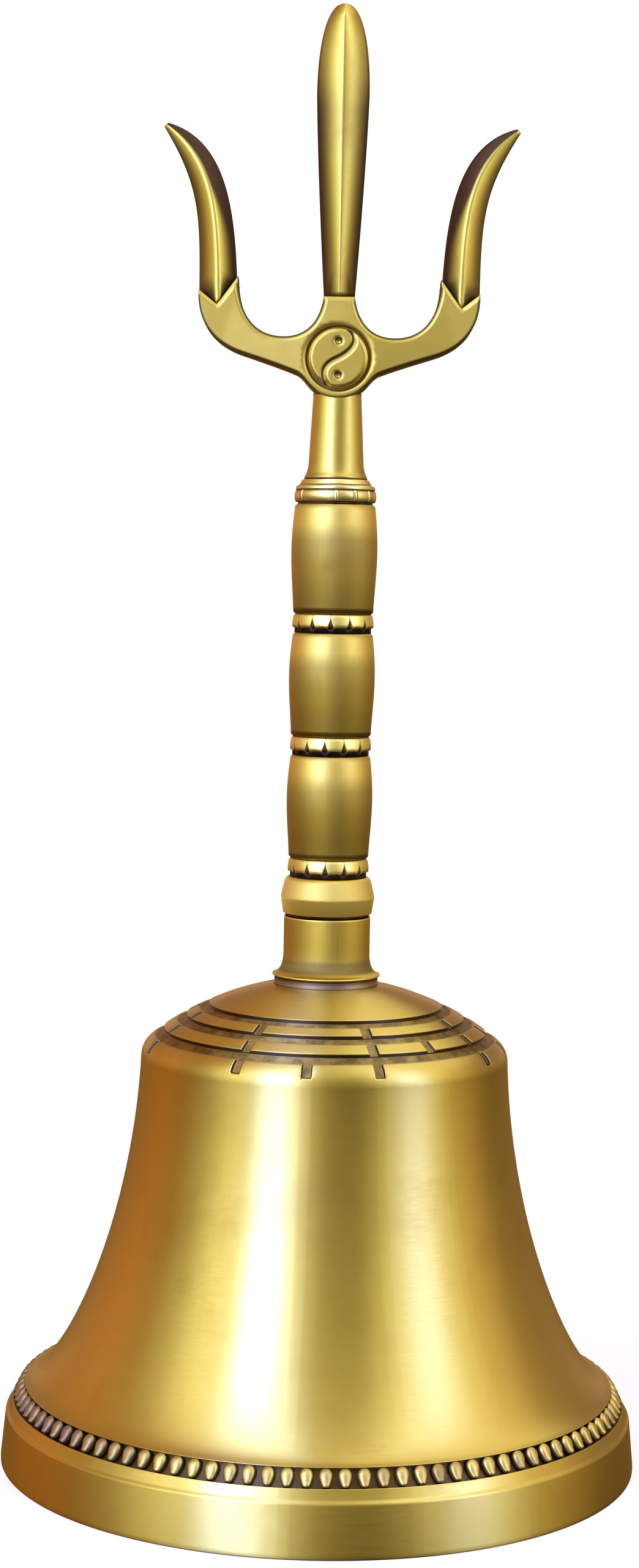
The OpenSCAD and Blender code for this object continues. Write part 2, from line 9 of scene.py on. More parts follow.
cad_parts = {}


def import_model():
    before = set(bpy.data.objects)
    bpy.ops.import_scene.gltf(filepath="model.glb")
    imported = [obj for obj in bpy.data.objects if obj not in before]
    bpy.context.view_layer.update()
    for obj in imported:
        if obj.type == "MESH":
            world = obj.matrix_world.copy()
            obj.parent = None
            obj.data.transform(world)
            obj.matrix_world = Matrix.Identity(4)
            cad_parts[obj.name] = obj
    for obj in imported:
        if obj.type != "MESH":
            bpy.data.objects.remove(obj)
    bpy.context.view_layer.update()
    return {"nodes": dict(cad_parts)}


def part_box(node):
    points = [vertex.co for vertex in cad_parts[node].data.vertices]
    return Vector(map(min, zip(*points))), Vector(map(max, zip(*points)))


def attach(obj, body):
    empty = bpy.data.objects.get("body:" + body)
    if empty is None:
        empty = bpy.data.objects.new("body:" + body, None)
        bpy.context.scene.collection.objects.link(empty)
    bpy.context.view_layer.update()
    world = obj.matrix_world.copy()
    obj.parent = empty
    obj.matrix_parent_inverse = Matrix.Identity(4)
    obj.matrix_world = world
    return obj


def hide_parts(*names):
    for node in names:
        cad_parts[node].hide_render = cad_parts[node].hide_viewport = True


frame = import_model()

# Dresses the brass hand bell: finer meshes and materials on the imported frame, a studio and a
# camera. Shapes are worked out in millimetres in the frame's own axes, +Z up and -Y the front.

MM = 0.001
# Radius of the hole for the rod, in millimetres
BORE_R = 2.15


def extent(node):
    """Lowest height, highest height and radius of a node at rest, in millimetres."""
    low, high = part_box(node)
    return low.z / MM, high.z / MM, max(high.x, high.y) / MM


# Curves and outlines


def bezier(points, t):
    """The places at shares t of a curve with two ends and two pulls."""
    a, b, c, d = np.array(points, float)
    t = np.asarray(t)[..., None]
    u = 1 - t
    return u ** 3 * a + 3 * u ** 2 * t * b + 3 * u * t ** 2 * c + t ** 3 * d


def curve(points, steps):
    return bezier(points, np.linspace(0, 1, steps + 1))


def unit(v):
    """The direction of a vector, or of each row of an array."""
    return np.asarray(v, float) / np.linalg.norm(v, axis=-1, keepdims=True)


def normals(line):
    """Directions across a line of points, to its left."""
    way = np.gradient(line, axis=0)
    return unit(np.stack([-way[:, 1], way[:, 0]], -1))


def rounded(corners, steps=4):
    """An outline whose corners (x, y, radius) are turned into small arcs, each between two
    support points where there is room for them."""
    corners = np.array([(*corner, 0)[:3] for corner in corners], float)
    places, points = corners[:, :2], []
    neighbours = np.roll(places, 1, axis=0), np.roll(places, -1, axis=0)
    for here, before, after, radius in zip(places, *neighbours, corners[:, 2]):
        a, b = before - here, after - here
        room = 0.42 * min(np.linalg.norm(a), np.linalg.norm(b))
        reach = min(radius, room)
        if reach < 1e-4:
            points.append(here)
            continue
        a, b = unit(a) * reach, unit(b) * reach
        arc = [here + a * (1 - t) ** 2 + b * t ** 2 for t in np.linspace(0, 1, steps + 1)]
        points += [here + a * 1.6, *arc, here + b * 1.6] if reach < 0.6 * room else arc
    return np.array(points)


def spread(a, b, count):
    """Points between two ends, without the ends."""
    a, b = np.array(a, float), np.array(b, float)
    return [a + (b - a) * i / (count + 1) for i in range(1, count + 1)]


def smooth(x, low, high):
    """A smooth change from 0 at low to 1 at high."""
    t = np.clip((np.asarray(x, float) - low) / (high - low), 0, 1)
    return t * t * (3 - 2 * t)


# Meshes


def closed(verts, *parts):
    """A closed mesh from its points and its lists of quads and triangles, turned to face out."""
    volume = 0.0
    for faces in parts:
        a, *others = (verts[faces[:, k]] for k in range(faces.shape[1]))
        for b, c in zip(others, others[1:]):
            volume += np.sum(a * np.cross(b, c))
    return verts, [faces if volume > 0 else faces[:, ::-1] for faces in parts]


def grid_faces(rows, columns):
    """Quads of a grid that wraps both ways. The last of them lead from its end to its start."""
    at = np.arange(rows * columns).reshape(rows, columns)
    beside, below = np.roll(at, -1, axis=1), np.roll(at, -1, axis=0)
    return np.stack([at, beside, np.roll(below, -1, axis=1), below], -1).reshape(-1, 4)


def ring_grid(points):
    """A closed mesh from a grid [row][column] of points that wraps both ways."""
    return closed(points.reshape(-1, 3), grid_faces(*points.shape[:2]))


def around(r, angles, z):
    """Points round the vertical axis. Angles are counted from the front."""
    return np.stack([r * np.sin(angles), -r * np.cos(angles), z + 0 * angles], -1)


def turned(corners, columns=160, steps=4, bore=BORE_R):
    """A closed ring-shaped mesh over a bore, from its outer corners upwards: radius, height and
    rounding."""
    corners = [(bore, corners[0][1]), *corners, (bore, corners[-1][1])]
    r, z = rounded(corners, steps).T[..., None]
    return ring_grid(around(r, np.arange(columns) * 2 * math.pi / columns, z))


def added(name, data):
    """A new object in the scene."""
    thing = bpy.data.objects.new(name, data)
    bpy.context.scene.collection.objects.link(thing)
    return thing


def piece(name, solid, node, material):
    """An object that rides on the bell in place of a CAD node, from points in millimetres, lists
    of faces, and shares at each point for its material."""
    verts, faces, shares = solid
    loops = np.concatenate([part.ravel() for part in faces])
    sizes = np.concatenate([np.full(len(part), part.shape[1]) for part in faces])
    starts = np.concatenate([[0], np.cumsum(sizes)[:-1]])
    mesh = bpy.data.meshes.new(name)
    mesh.vertices.add(len(verts))
    mesh.vertices.foreach_set("co", (verts * MM).astype(np.float32).ravel())
    mesh.loops.add(len(loops))
    mesh.loops.foreach_set("vertex_index", loops.astype(np.int32))
    mesh.polygons.add(len(sizes))
    mesh.polygons.foreach_set("loop_start", starts.astype(np.int32))
    mesh.materials.append(material)
    mesh.update(calc_edges=True)
    mesh.validate()
    mesh.shade_smooth()
    for key, values in shares.items():
        data = mesh.attributes.new(key, "FLOAT", "POINT").data
        data.foreach_set("value", np.asarray(values, np.float32))
    thing = added(name, mesh)
    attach(thing, "bell")
    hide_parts(node)


# Materials


class Shader:
    """Writes a node tree in short lines. Values are numbers, tuples or sockets."""

    def __init__(self, tree):
        self.tree = tree
        tree.nodes.clear()

    def put(self, socket, value):
        if isinstance(value, bpy.types.NodeSocket):
            self.tree.links.new(value, socket)
        else:
            socket.default_value = (*value, 1) if socket.type == "RGBA" else value

    def node(self, kind, inputs=(), **settings):
        node = self.tree.nodes.new("ShaderNode" + kind)
        for key, value in settings.items():
            setattr(node, key, value)
        for key, value in dict(inputs).items():
            self.put(node.inputs[key], value)
        return node

    def math(self, operation, *values):
        return self.node("Math", enumerate(values), operation=operation).outputs[0]

    add = partialmethod(math, "ADD")
    less = partialmethod(math, "SUBTRACT")
    times = partialmethod(math, "MULTIPLY")

    def vector(self, operation, *values):
        return self.node("VectorMath", enumerate(values), operation=operation).outputs[0]

    def split(self, place):
        return self.node("SeparateXYZ", {"Vector": place}).outputs

    def join(self, x, y, z):
        return self.node("CombineXYZ", {"X": x, "Y": y, "Z": z}).outputs[0]

    def length(self, place):
        return self.node("VectorMath", {0: place}, operation="LENGTH").outputs["Value"]

    def rise(self, value, low, high, start=0.0, end=1.0):
        """A smooth change from start to end while value goes from low to high."""
        inputs = {"Value": value, "From Min": low, "From Max": high, "To Min": start, "To Max": end}
        return self.node("MapRange", inputs, interpolation_type="SMOOTHSTEP").outputs["Result"]

    def mix(self, share, a, b):
        return self.node("Mix", data_type="RGBA", inputs={0: share, 6: a, 7: b}).outputs[2]

    def noise(self, place, scale, detail=3.0, rough=0.55):
        inputs = {"Vector": place, "Scale": scale, "Detail": detail, "Roughness": rough}
        return self.node("TexNoise", inputs).outputs["Fac"]

    def attribute(self, name):
        return self.node("Attribute", attribute_name=name).outputs["Fac"]

    def place(self):
        return self.node("TexCoord").outputs["Object"]

    def metal(self, colour, **gloss):
        shader = self.node("BsdfPrincipled", {"Base Color": colour, "Metallic": 1.0, **gloss})
        self.node("OutputMaterial", {"Surface": shader.outputs[0]})


def new_material(name):
    material = bpy.data.materials.new(name)
    material.use_nodes = True
    return material, Shader(material.node_tree)


BRASS = (0.60, 0.455, 0.118)
WARM = (0.45, 0.27, 0.06)
PATINA = (0.055, 0.026, 0.010)
GRIP = (0.60, 0.41, 0.072)
# Painted shade on the grip: its barrels darker downwards, the socket's flare, and shadow at its
# foot
GRIP_PAINTED_SHADE = (0.11, 0.062, 0.014)
SATIN = (0.56, 0.40, 0.066)
# Painted highlight on the angular collar below its edge
PAINTED_HIGHLIGHT = (0.95, 0.70, 0.15)
# Painted shade: shadow on the spacer under the socket's foot, and shade on the blades' flanks and
# edges
PAINTED_SHADE_BROWN = (0.07, 0.036, 0.016)
# Painted shade on the fork's side walls and along its outline
EDGE_PAINTED_SHADE = (0.035, 0.018, 0.008)
BROWN = (0.20, 0.115, 0.04)
# Light and dark shade of the floor of cuts
CUT_BROWN = ((0.38, 0.26, 0.08), (0.2, 0.13, 0.045))
# Painted shade, light and dark, in steep cut walls, the bead channel, notches and recesses
PAINTED_SHADE_BLACK = ((0.06, 0.034, 0.018), (0.03, 0.016, 0.009))
# Dark seams, and painted shade in creases, grooves and dimples, light and dark
SEAM_AND_SHADE_BROWN = ((0.14, 0.075, 0.03), (0.08, 0.04, 0.016))
# How brush lines run on a surface, and the turn of its highlights that they bring
BRUSHING = {"around": 0.25, "along": 0.0}
# Noise cells in a metre
CLOUDS, MOTTLES, SPECKS, DENTS, LINES = 90, 420, 1500, 2600, 5200
# How far grime gathers from a corner, and how high the finest marks stand, in metres
GRIME_REACH = 0.0011
MARK_HEIGHT = 0.000012


def turned_place(s, place):
    """A vector whose noise runs in rings round the vertical axis, as a lathe leaves it."""
    x, y, z = s.split(place)
    radius = s.length(s.join(x, y, 0.0))
    along = s.less(z, s.times(radius, 0.7))
    safe = s.math("MAXIMUM", radius, 0.0005)
    return s.join(*(s.times(s.math("DIVIDE", side, safe), 0.002) for side in (x, y)), along)


def tool_marks(s, place, way):
    """Fine lines that a tool or a brush leaves, or dents without one."""
    if way == "around":
        return s.noise(turned_place(s, place), LINES, 2, 0.7)
    if way == "along":
        x, y, z = s.split(place)
        return s.noise(s.join(x, y, s.times(z, 0.02)), LINES, 2, 0.7)
    return s.noise(place, DENTS, 3, 0.7)


def brass(name, rough, bright=BRASS, warm=WARM, brushed=(None, 0.0), tarnish=0.5, cut=None,
          age=None, hollows=PATINA, grain=1.0):
    """Polished brass with tool marks, tarnish in clouds and specks, and grime in its hollows."""
    material, s = new_material(name)
    place = s.place()
    way, anisotropy = brushed
    clouds = s.noise(place, CLOUDS, 4, 0.6)
    specks = s.noise(place, SPECKS, 2, 0.6)
    marks = tool_marks(s, place, way)
    stain = s.times(s.rise(clouds, 0.46, 0.72), tarnish)
    stain = s.math("MAXIMUM", stain, s.times(s.rise(specks, 0.66, 0.74), 0.35 * tarnish))
    colour = s.mix(stain, bright, warm)
    # painted light and shade, mixed in by a share on the mesh; on the beads also a tone that
    # differs from bead to bead
    if age:
        colour = s.mix(s.attribute("age"), colour, age)
    in_cut = 0.0
    # patina in the cuts and dark seams, and painted shade in notches, recesses, creases, grooves
    # and dimples, by a share on the mesh
    if cut:
        in_cut = s.attribute("cut")
        mottle = s.rise(s.noise(place, MOTTLES, 4, 0.65), 0.38, 0.62)
        colour = s.mix(in_cut, colour, s.mix(mottle, *cut))
    hollow = s.node("AmbientOcclusion", {"Distance": GRIME_REACH}, samples=6).outputs["AO"]
    grime = s.rise(s.add(hollow, s.times(s.less(clouds, 0.5), 0.35)), 0.62, 0.22)
    colour = s.mix(grime, colour, hollows)
    roughness = s.add(rough, s.times(s.less(marks, 0.5), 0.16))
    roughness = s.add(roughness, s.times(stain, 0.1))
    if age:
        roughness = s.add(roughness, s.times(s.attribute("age"), 0.12))
    roughness = s.add(roughness, s.times(s.math("MAXIMUM", grime, in_cut), 0.2))
    height = s.add(s.times(marks, 0.6 * grain), s.times(specks, 0.4 * grain))
    bump = s.node("Bump", {"Strength": 0.35, "Distance": MARK_HEIGHT, "Height": height})
    gloss = {"Roughness": roughness, "Normal": bump.outputs["Normal"]}
    if way:
        gloss["Anisotropic"] = anisotropy
        gloss["Anisotropic Rotation"] = BRUSHING[way]
        gloss["Tangent"] = s.node("Tangent", direction_type="RADIAL", axis="Z").outputs[0]
    s.metal(colour, **gloss)
    return material


def steel():
    """Brushed steel of the rod, the nut and the washer."""
    material, s = new_material("rod_steel")
    place = s.place()
    brushed = s.noise(turned_place(s, place), 4200, 2, 0.7)
    clouds = s.rise(s.noise(place, 300, 3, 0.6), 0.4, 0.7)
    colour = s.mix(clouds, (0.56, 0.56, 0.57), (0.40, 0.38, 0.36))
    s.metal(colour, Roughness=s.add(0.28, s.times(brushed, 0.2)))
    return material


# The bell: its seat for the handle, its lip, its walls and its outer line, as in the frame

_, SEAT_Z, LIP_R = extent("bell_body")
SEAT_R = 8.2
BAND_H = 7.6
BAND_DRAFT = 0.7
LIP_WALL = 3.6
WALL = 2.6
FLARE = (44.6, 11.9)
FLARE_PULL = 4.7
WAIST = (28.9, 33.6)
SHOULDER = (27.7, 61.0)
DOME_R = 42.5
CROWN_T = 3.6
CROWN_IN_R = 11.9
GROOVE_W = 1.5
BAR_W = 1.85
TURN_W = 1.85
RING_CUT = 0.55
BREAK_CUT = 0.45
BREAK_W = 1.4
TAIL_DROP = 1.9
PATTERN_TURN = 27.8
CHANNEL_H = 2.4
CHANNEL_D = 0.9
CHANNEL_SLOPE = 0.7
BEADS = 106
BEAD_R = 0.98
BEAD_TAIL = 1.85
BEAD_LIFT = 0.55
BEAD_SINK = 0.5
BEAD_SIDES = 18
# Which bars of each of the eight signs are whole, from the innermost row outwards
SIGNS = ((1, 1, 0), (1, 0, 1), (1, 0, 0), (0, 0, 0), (0, 0, 1), (0, 1, 0), (0, 1, 1), (1, 1, 1))
SPOKES = 2 * len(SIGNS)

DOME_Z = SEAT_Z - math.sqrt(DOME_R ** 2 - SEAT_R ** 2)
DOME_EDGE_R = SHOULDER[0] - TURN_W
PATTERN_R = DOME_EDGE_R - 2 * (GROOVE_W + BAR_W) - GROOVE_W
# Offsets across a cut's edge, into the cut, and the share of its depth that is reached there
CUT_EDGE = ((-0.2, 0.0), (-0.1, 0.02), (-0.02, 0.16), (0.03, 0.8), (0.1, 0.96), (0.22, 1.0))
# The same for the outer side of a ring groove, which slopes
OUTER_EDGE = ((-0.3, 0.0), (-0.12, 0.06), (0.02, 0.3), (0.22, 0.68), (0.42, 0.93), (0.6, 1.0))


def on_dome(r):
    """A point of the crown and the direction out of it."""
    z = math.sqrt(DOME_R ** 2 - r ** 2)
    return np.array((r, DOME_Z + z)), np.array((r, z)) / DOME_R


def crown_rows():
    """Rows from the seat out to the shoulder: point, direction out, depth, and the row of bars
    that it is in."""
    rows = [(*on_dome(r), 0.0, None) for r in np.linspace(SEAT_R, PATTERN_R - 0.4, 9)]
    for k in range(3):
        inner = PATTERN_R + k * (GROOVE_W + BAR_W)
        outer = inner + GROOVE_W
        rows += [(*on_dome(inner + off), share * RING_CUT, k - 1) for off, share in CUT_EDGE]
        rows.append((*on_dome((inner + outer) / 2), RING_CUT, k - 1))
        rows += [(*on_dome(outer - off), share * RING_CUT, k) for off, share in OUTER_EDGE[::-1]]
        if k < 2:
            bar = np.linspace(outer + 0.3, outer + BAR_W - 0.2, 5)[1:-1]
            rows += [(*on_dome(r), 0.0, k) for r in bar]
    return rows


def wall_line(steps):
    """The wall's outer line, from the bead channel up to the shoulder."""
    return curve((FLARE, (FLARE[0] - FLARE_PULL, FLARE[1]), WAIST, SHOULDER), steps)


def shoulder_rows():
    """Rows from the crown's edge round the shoulder and down the wall."""
    top = on_dome(DOME_EDGE_R)[0]
    slope = DOME_EDGE_R / math.sqrt(DOME_R ** 2 - DOME_EDGE_R ** 2)
    pulls = (SHOULDER[0], (SHOULDER[1] + top[1]) / 2), top + TURN_W * 0.6 * np.array((1, -slope))
    turn = curve((SHOULDER, *pulls, top), 26)[::-1]
    line = np.concatenate([turn[3:], wall_line(60)[-2:2:-1]])
    return [(p, n, 0.0, 2) for p, n in zip(line, normals(line))]


def plain_rows(points):
    """Rows that no cut reaches."""
    return [(np.array(p), np.zeros(2), 0.0, None) for p in points]


def channel_frame():
    """Top and foot of the bead channel, its direction down the slope and the one into it."""
    top = np.array(FLARE)
    foot = top + (CHANNEL_H * CHANNEL_SLOPE, -CHANNEL_H)
    down = unit(foot - top)
    return top, foot, down, np.array((down[1], -down[0]))


def lower_outline():
    """Corners from the bead channel round the lip, and points up inside to the bore."""
    top, foot, _, inward = channel_frame()
    waist = wall_line(40)
    inside = waist + WALL * normals(waist)
    radii = np.linspace(SHOULDER[0] - 2 * WALL, CROWN_IN_R, 10)
    dome = [(r, DOME_Z + math.sqrt((DOME_R - WALL) ** 2 - r ** 2)) for r in radii]
    inner_lip = LIP_R - LIP_WALL
    land = LIP_R - BAND_DRAFT
    corners = [
        (*top, 0.18), (*(top + inward * CHANNEL_D), 0.3), (*(foot + inward * CHANNEL_D), 0.3),
        (*foot, 0.14), (land - 0.4, BAND_H + 0.4, 0.2), (land, BAND_H, 0.3), (LIP_R, 0.6, 0.5),
        (LIP_R - 0.02, 0, 0.35), (inner_lip + 0.3, 0, 0.3), (inner_lip, 0.8, 0.3),
        (inner_lip - 0.4, BAND_H - 0.4, 1.2)]
    return corners, [*map(tuple, inside[inside[:, 1] > FLARE[1]]), *dome]


def bell_rows():
    """Every row of the bell's mesh, right round its section."""
    rows = plain_rows([(BORE_R, SEAT_Z), (SEAT_R - 0.3, SEAT_Z)]) + crown_rows() + shoulder_rows()
    corners, steps = lower_outline()
    # the first corner is the row that is there already
    ring = rounded([tuple(rows[-1][0]), *corners, *steps], steps=5)[1:]
    low = SEAT_Z - CROWN_T
    return rows + plain_rows([*ring, (CROWN_IN_R, low), (BORE_R, low)])


def column_angles(r):
    """Angles from the front of the columns at a radius, drawn together at the breaks' edges, with
    each column's spoke and its distance from that spoke's middle."""
    reach = max(r, SEAT_R)
    side = BREAK_W / 2 - np.array(CUT_EDGE)[:, 0]
    across = np.concatenate([-side, [0], side[::-1]])
    step = 2 * math.pi / SPOKES
    edge = math.asin(side[0] / reach)
    between = edge + np.linspace(0, 1, 11)[1:-1] * (step - 2 * edge)
    turns = np.concatenate([np.arcsin(across / reach), between])
    spokes = np.repeat(np.arange(SPOKES), len(turns))
    angles = spokes * step - math.radians(PATTERN_TURN) + np.tile(turns, SPOKES)
    offsets = np.concatenate([across, np.full(len(between), BREAK_W)])
    return angles, spokes, np.tile(offsets, SPOKES)


def bell_solid():
    """The bell with its cuts, and shares of patina in the cuts and of painted shade on their steep
    sides.
    """
    tail_z = on_dome(DOME_EDGE_R)[0][1] - TAIL_DROP
    # which spokes are cut through each row of bars
    breaks = [np.repeat(1 - np.array(whole), 2) for whole in zip(*SIGNS)]
    for spokes in breaks:
        spokes[::2] = 1
    top, foot, down, inward = channel_frame()
    length = np.linalg.norm(foot - top)
    grid, cut, dark = [], [], []
    rows = bell_rows()
    for k, (point, out, depth, row) in enumerate(rows):
        angles, spokes, offsets = column_angles(point[0])
        share = np.zeros(len(angles))
        if row in (0, 1, 2):
            inset = BREAK_W / 2 - np.abs(offsets)
            share = np.interp(inset, *np.array(CUT_EDGE).T) * breaks[row][spokes]
        if row == 2:
            share *= smooth(point[1], tail_z - 0.05, tail_z + 0.3)
        deep = np.maximum(depth, share * BREAK_CUT)
        grid.append(around(point[0] - out[0] * deep, angles, point[1] - out[1] * deep))
        away = point - top
        in_channel = (0 < away @ down < length and away @ inward > 0.1 and away[0] > -1) * 1.0
        cut.append(np.maximum(smooth(deep / RING_CUT, 0.12, 0.7), in_channel))
        # painted shade on the inner walls of the ring grooves, on the steep sides of the breaks and
        # in the bead channel
        inner_side = 0.1 < depth / RING_CUT < 0.98 and rows[(k + 1) % len(rows)][2] > depth
        steep = smooth(share, 0.02, 0.12) * smooth(share, 0.99, 0.94) * (deep > depth)
        dark.append(np.maximum(steep, max(inner_side, 0.95 * in_channel)))
    cut, dark = np.concatenate(cut), np.concatenate(dark)
    return *ring_grid(np.array(grid)), {"cut": cut * (1 - dark), "age": dark}


def bead_solid():
    """Every bead, a broad flat head with a tail that hangs down the slope, and the share of painted
    shade and tone at its points."""
    top, foot, down, inward = channel_frame()
    middle = (top + foot) / 2 - down * BEAD_LIFT + inward * BEAD_SINK
    head = np.radians((6, 25, 45, 65, 85, 100))
    radius = np.append(BEAD_R * np.sin(head), (0.95, 0.86, 0.72, 0.58, 0.46, 0.2))
    along = np.append(-BEAD_R * np.cos(head), (0.35, 0.75, 1.15, 1.5, 1.72, BEAD_TAIL))
    # flatter than broad, and the tails keep their height over the slope while they narrow
    rise = np.maximum(0.8 * radius, 0.6 * (along > 0) * (along < BEAD_TAIL))
    turns = np.arange(BEAD_SIDES) * 2 * math.pi / BEAD_SIDES
    across, up = (np.sign(w) * np.abs(w) ** 0.8 for w in (np.cos(turns), np.sin(turns)))
    bead = [np.outer(radius, across), np.outer(rise, up), np.outer(along, np.ones(BEAD_SIDES))]
    poles = [(0, 0, -BEAD_R), (0, 0, BEAD_TAIL + 0.03)]
    bead = np.concatenate([np.stack(bead, -1).reshape(-1, 3), poles])
    # each bead's own axes: along the band, out of the slope, and down it
    number = np.arange(BEADS)
    angle = 2 * math.pi * number / BEADS + math.pi / 2
    ray = around(1, angle, 0)
    side = np.stack([np.cos(angle), np.sin(angle), 0 * angle], -1)
    axes = np.stack([side] + [v[0] * ray + (0, 0, v[1]) for v in (-inward, down)], 1)
    verts = (middle[0] * ray + (0, 0, middle[1]))[:, None] + bead @ axes
    size, i = len(bead), np.arange(BEAD_SIDES)
    j, last = np.roll(i, -1), size - 2 - BEAD_SIDES
    caps = [(j, i, 0 * i + size - 2), (last + i, last + j, 0 * i + size - 1)]
    faces = (grid_faces(len(radius), BEAD_SIDES)[:-BEAD_SIDES], np.concatenate(caps, axis=1).T)
    faces = [(f + size * number[:, None, None]).reshape(-1, f.shape[1]) for f in faces]
    # painted shade on the beads towards the left side, and a tone that differs from bead to bead
    age = 0.75 * smooth(-np.sin(angle), 0.5, 0.8) + 0.3 * (number * 7 % 11) / 11
    return *closed(verts.reshape(-1, 3), *faces), {"age": np.repeat(np.clip(age, 0, 1), size)}


# The handle's turned pieces

BARREL_R = 6.0
BARREL_SWELL = 0.44
# Painted shade on a barrel at each share of its height, strongest towards its lower end
BARREL_PAINTED_SHADE = ((0, 0.7), (0.12, 0.5), (0.34, 0.33), (0.45, 0.42), (0.66, 0.48), (0.74, 0.3), (0.83, 0.0),
        (1, 0.0))
RING_NOTCHES = 13
RING_R = 6.1
RECESS_R = 5.75
RECESS_H = 0.85
# A ring's outer line: how far inside its radius, and how far over its foot or, from the second
# list on, under its top
RING_LOW = ((0.16, 0), (0.05, 0.07), (0, 0.2), (0.01, 0.45), (0.03, 0.75), (0.07, 1.0))
RING_HIGH = ((0.12, 0.5), (0.16, 0.34), (0.23, 0.2), (0.33, 0.07))
# Angles of the thin knots round the top collar's ring, from the front
KNOTS = (1, 30, 58, 90, 122, 150, 181, 212, 240, 270, 302)


def spacer_solid():
    """The spacer, with painted shadow that darkens it upwards, under the socket's foot."""
    low, high, r = extent("crown_spacer")
    sides = spread((r, low + 0.15), (r, high - 0.15), 4)
    verts, faces = turned([(r, low, 0.12), *sides, (r, high, 0.12)])
    # painted shadow under the socket's foot
    return verts, faces, {"age": 0.9 * smooth(verts[:, 2], low + 0.3 * (high - low), high)}


def socket_solid():
    """The socket, with painted shade over its flare and a painted shadow at its foot."""
    low, high, foot_r = extent("handle_socket")
    r = 6.5
    flare = ((foot_r, low + 0.5), (r + 0.75, low + 0.72), (r + 0.1, low + 1.3), (r, low + 3.3))
    verts, faces = turned([
        (foot_r - 0.3, low, 0.05), (foot_r - 0.25, low + 0.2, 0.05), (foot_r, low + 0.26, 0.05),
        *curve(flare, 16), *spread(flare[-1], (r, high), 3), (r, high, 0.22)])
    z = verts[:, 2] - low
    # painted shade over the flare, and a painted shadow at the foot
    age = 0.8 * smooth(z, 0.6, 1.2) * smooth(z, 3.8, 2.4) + smooth(z, 0.3, 0.22)
    return verts, faces, {"age": age}


def collar_solid():
    """The angular collar, with a painted highlight below its edge, and its dark seam."""
    low, high, edge_r = extent("socket_collar")
    seam, seam_r, top_r, middle = low + 0.45, 6.3, 6.45, (low + high) / 2
    verts, faces = turned([
        (seam_r, low), (seam_r, seam, 0.06), (edge_r - 0.38, seam, 0.12),
        (edge_r, middle - 0.05, 0.25), (edge_r - 0.18, middle + 0.75, 0.6),
        (top_r, high - 0.45, 0.3), (top_r - 0.45, high, 0.25)], steps=5)
    z = verts[:, 2]
    # painted highlight below the edge, and the dark seam
    return verts, faces, {"age": smooth(z, middle + 0.1, middle - 0.2), "cut": z < seam + 0.05}


def barrel_solid(node, painted_shade):
    """A barrel with painted shade, darker towards its lower end by the given strength, and a
    painted shadow at its upper end, under the ring.
    """
    low, high, _ = extent(node)
    end_r, t = BARREL_R - 0.35, np.linspace(0, 1, 25)
    sides = BARREL_R + BARREL_SWELL * np.sin(np.pi * t ** 1.25), low + 0.35 + (high - low - 0.7) * t
    verts, faces = turned([(end_r, low, 0.1), *np.transpose(sides), (end_r, high, 0.1)])
    z = verts[:, 2]
    # painted shade down the barrel, and a painted shadow under the ring at its top
    age = painted_shade * np.interp((z - low) / (high - low), *np.array(BARREL_PAINTED_SHADE).T)
    return verts, faces, {"age": age + 0.45 * smooth(z, high - 0.7, high - 0.1)}


def ring_solid(node, turn):
    """A ring on its recess, with notches that widen downwards and end over small knobs on a wavy
    hem."""
    low, high, _ = extent(node)
    foot = low + RECESS_H
    shares = np.array([-1.5, -1.15, -1.0, -0.85, -0.45, 0.0, 0.45, 0.85, 1.0, 1.15, 1.5])
    between = np.linspace(0, 1, 13)[1:-1]
    depths = np.interp(np.abs(shares), [0.45, 0.85, 1.0, 1.15], [1, 0.85, 0.2, 0])
    depths = np.tile(np.append(depths, 0 * between), RING_NOTCHES)
    step = 2 * math.pi / RING_NOTCHES
    middles = np.arange(RING_NOTCHES)[:, None] * step + math.radians(turn)
    recess = [(BORE_R, low), (RECESS_R, low), (RECESS_R, foot - 0.12)]
    face = [(RECESS_R + 0.05, foot - 0.02)]
    face += [(RING_R - inset, foot + up) for inset, up in RING_LOW]
    face += [(RING_R - inset, high - down) for inset, down in RING_HIGH]
    grid, cut = [], []
    for k, (r, z) in enumerate(recess + face + [(RING_R - 0.42, high), (BORE_R, high)]):
        on_face = 0 <= k - len(recess) < len(face)
        level = np.clip((z - foot) / (0.7 * (high - foot)), 0, 1)
        half = (0.05 + 0.42 * (1 - level) ** 1.3) / RING_R
        edge = 1.5 * half
        angles = (middles + np.append(shares * half, edge + between * (step - 2 * edge))).ravel()
        radii = r - 0.36 * (1 - level) ** 0.8 * depths * on_face
        # the hem hangs lowest at the notches and bulges into a knob there
        wave = (0.5 + 0.5 * np.cos((angles - math.radians(turn)) * RING_NOTCHES)) ** 2
        hem = smooth(z, foot + 0.9, foot) * smooth(z, low - 0.2, foot - 0.1)
        grid.append(around(radii, angles, z - 0.2 * wave * hem))
        # painted shade in the notches, lighter upwards, and in the recess under the ring
        dark = depths if on_face else np.full(len(depths), float(z < foot))
        cut.append(dark * (1 - 0.3 * level))
    return *ring_grid(np.array(grid)), {"cut": np.concatenate(cut)}


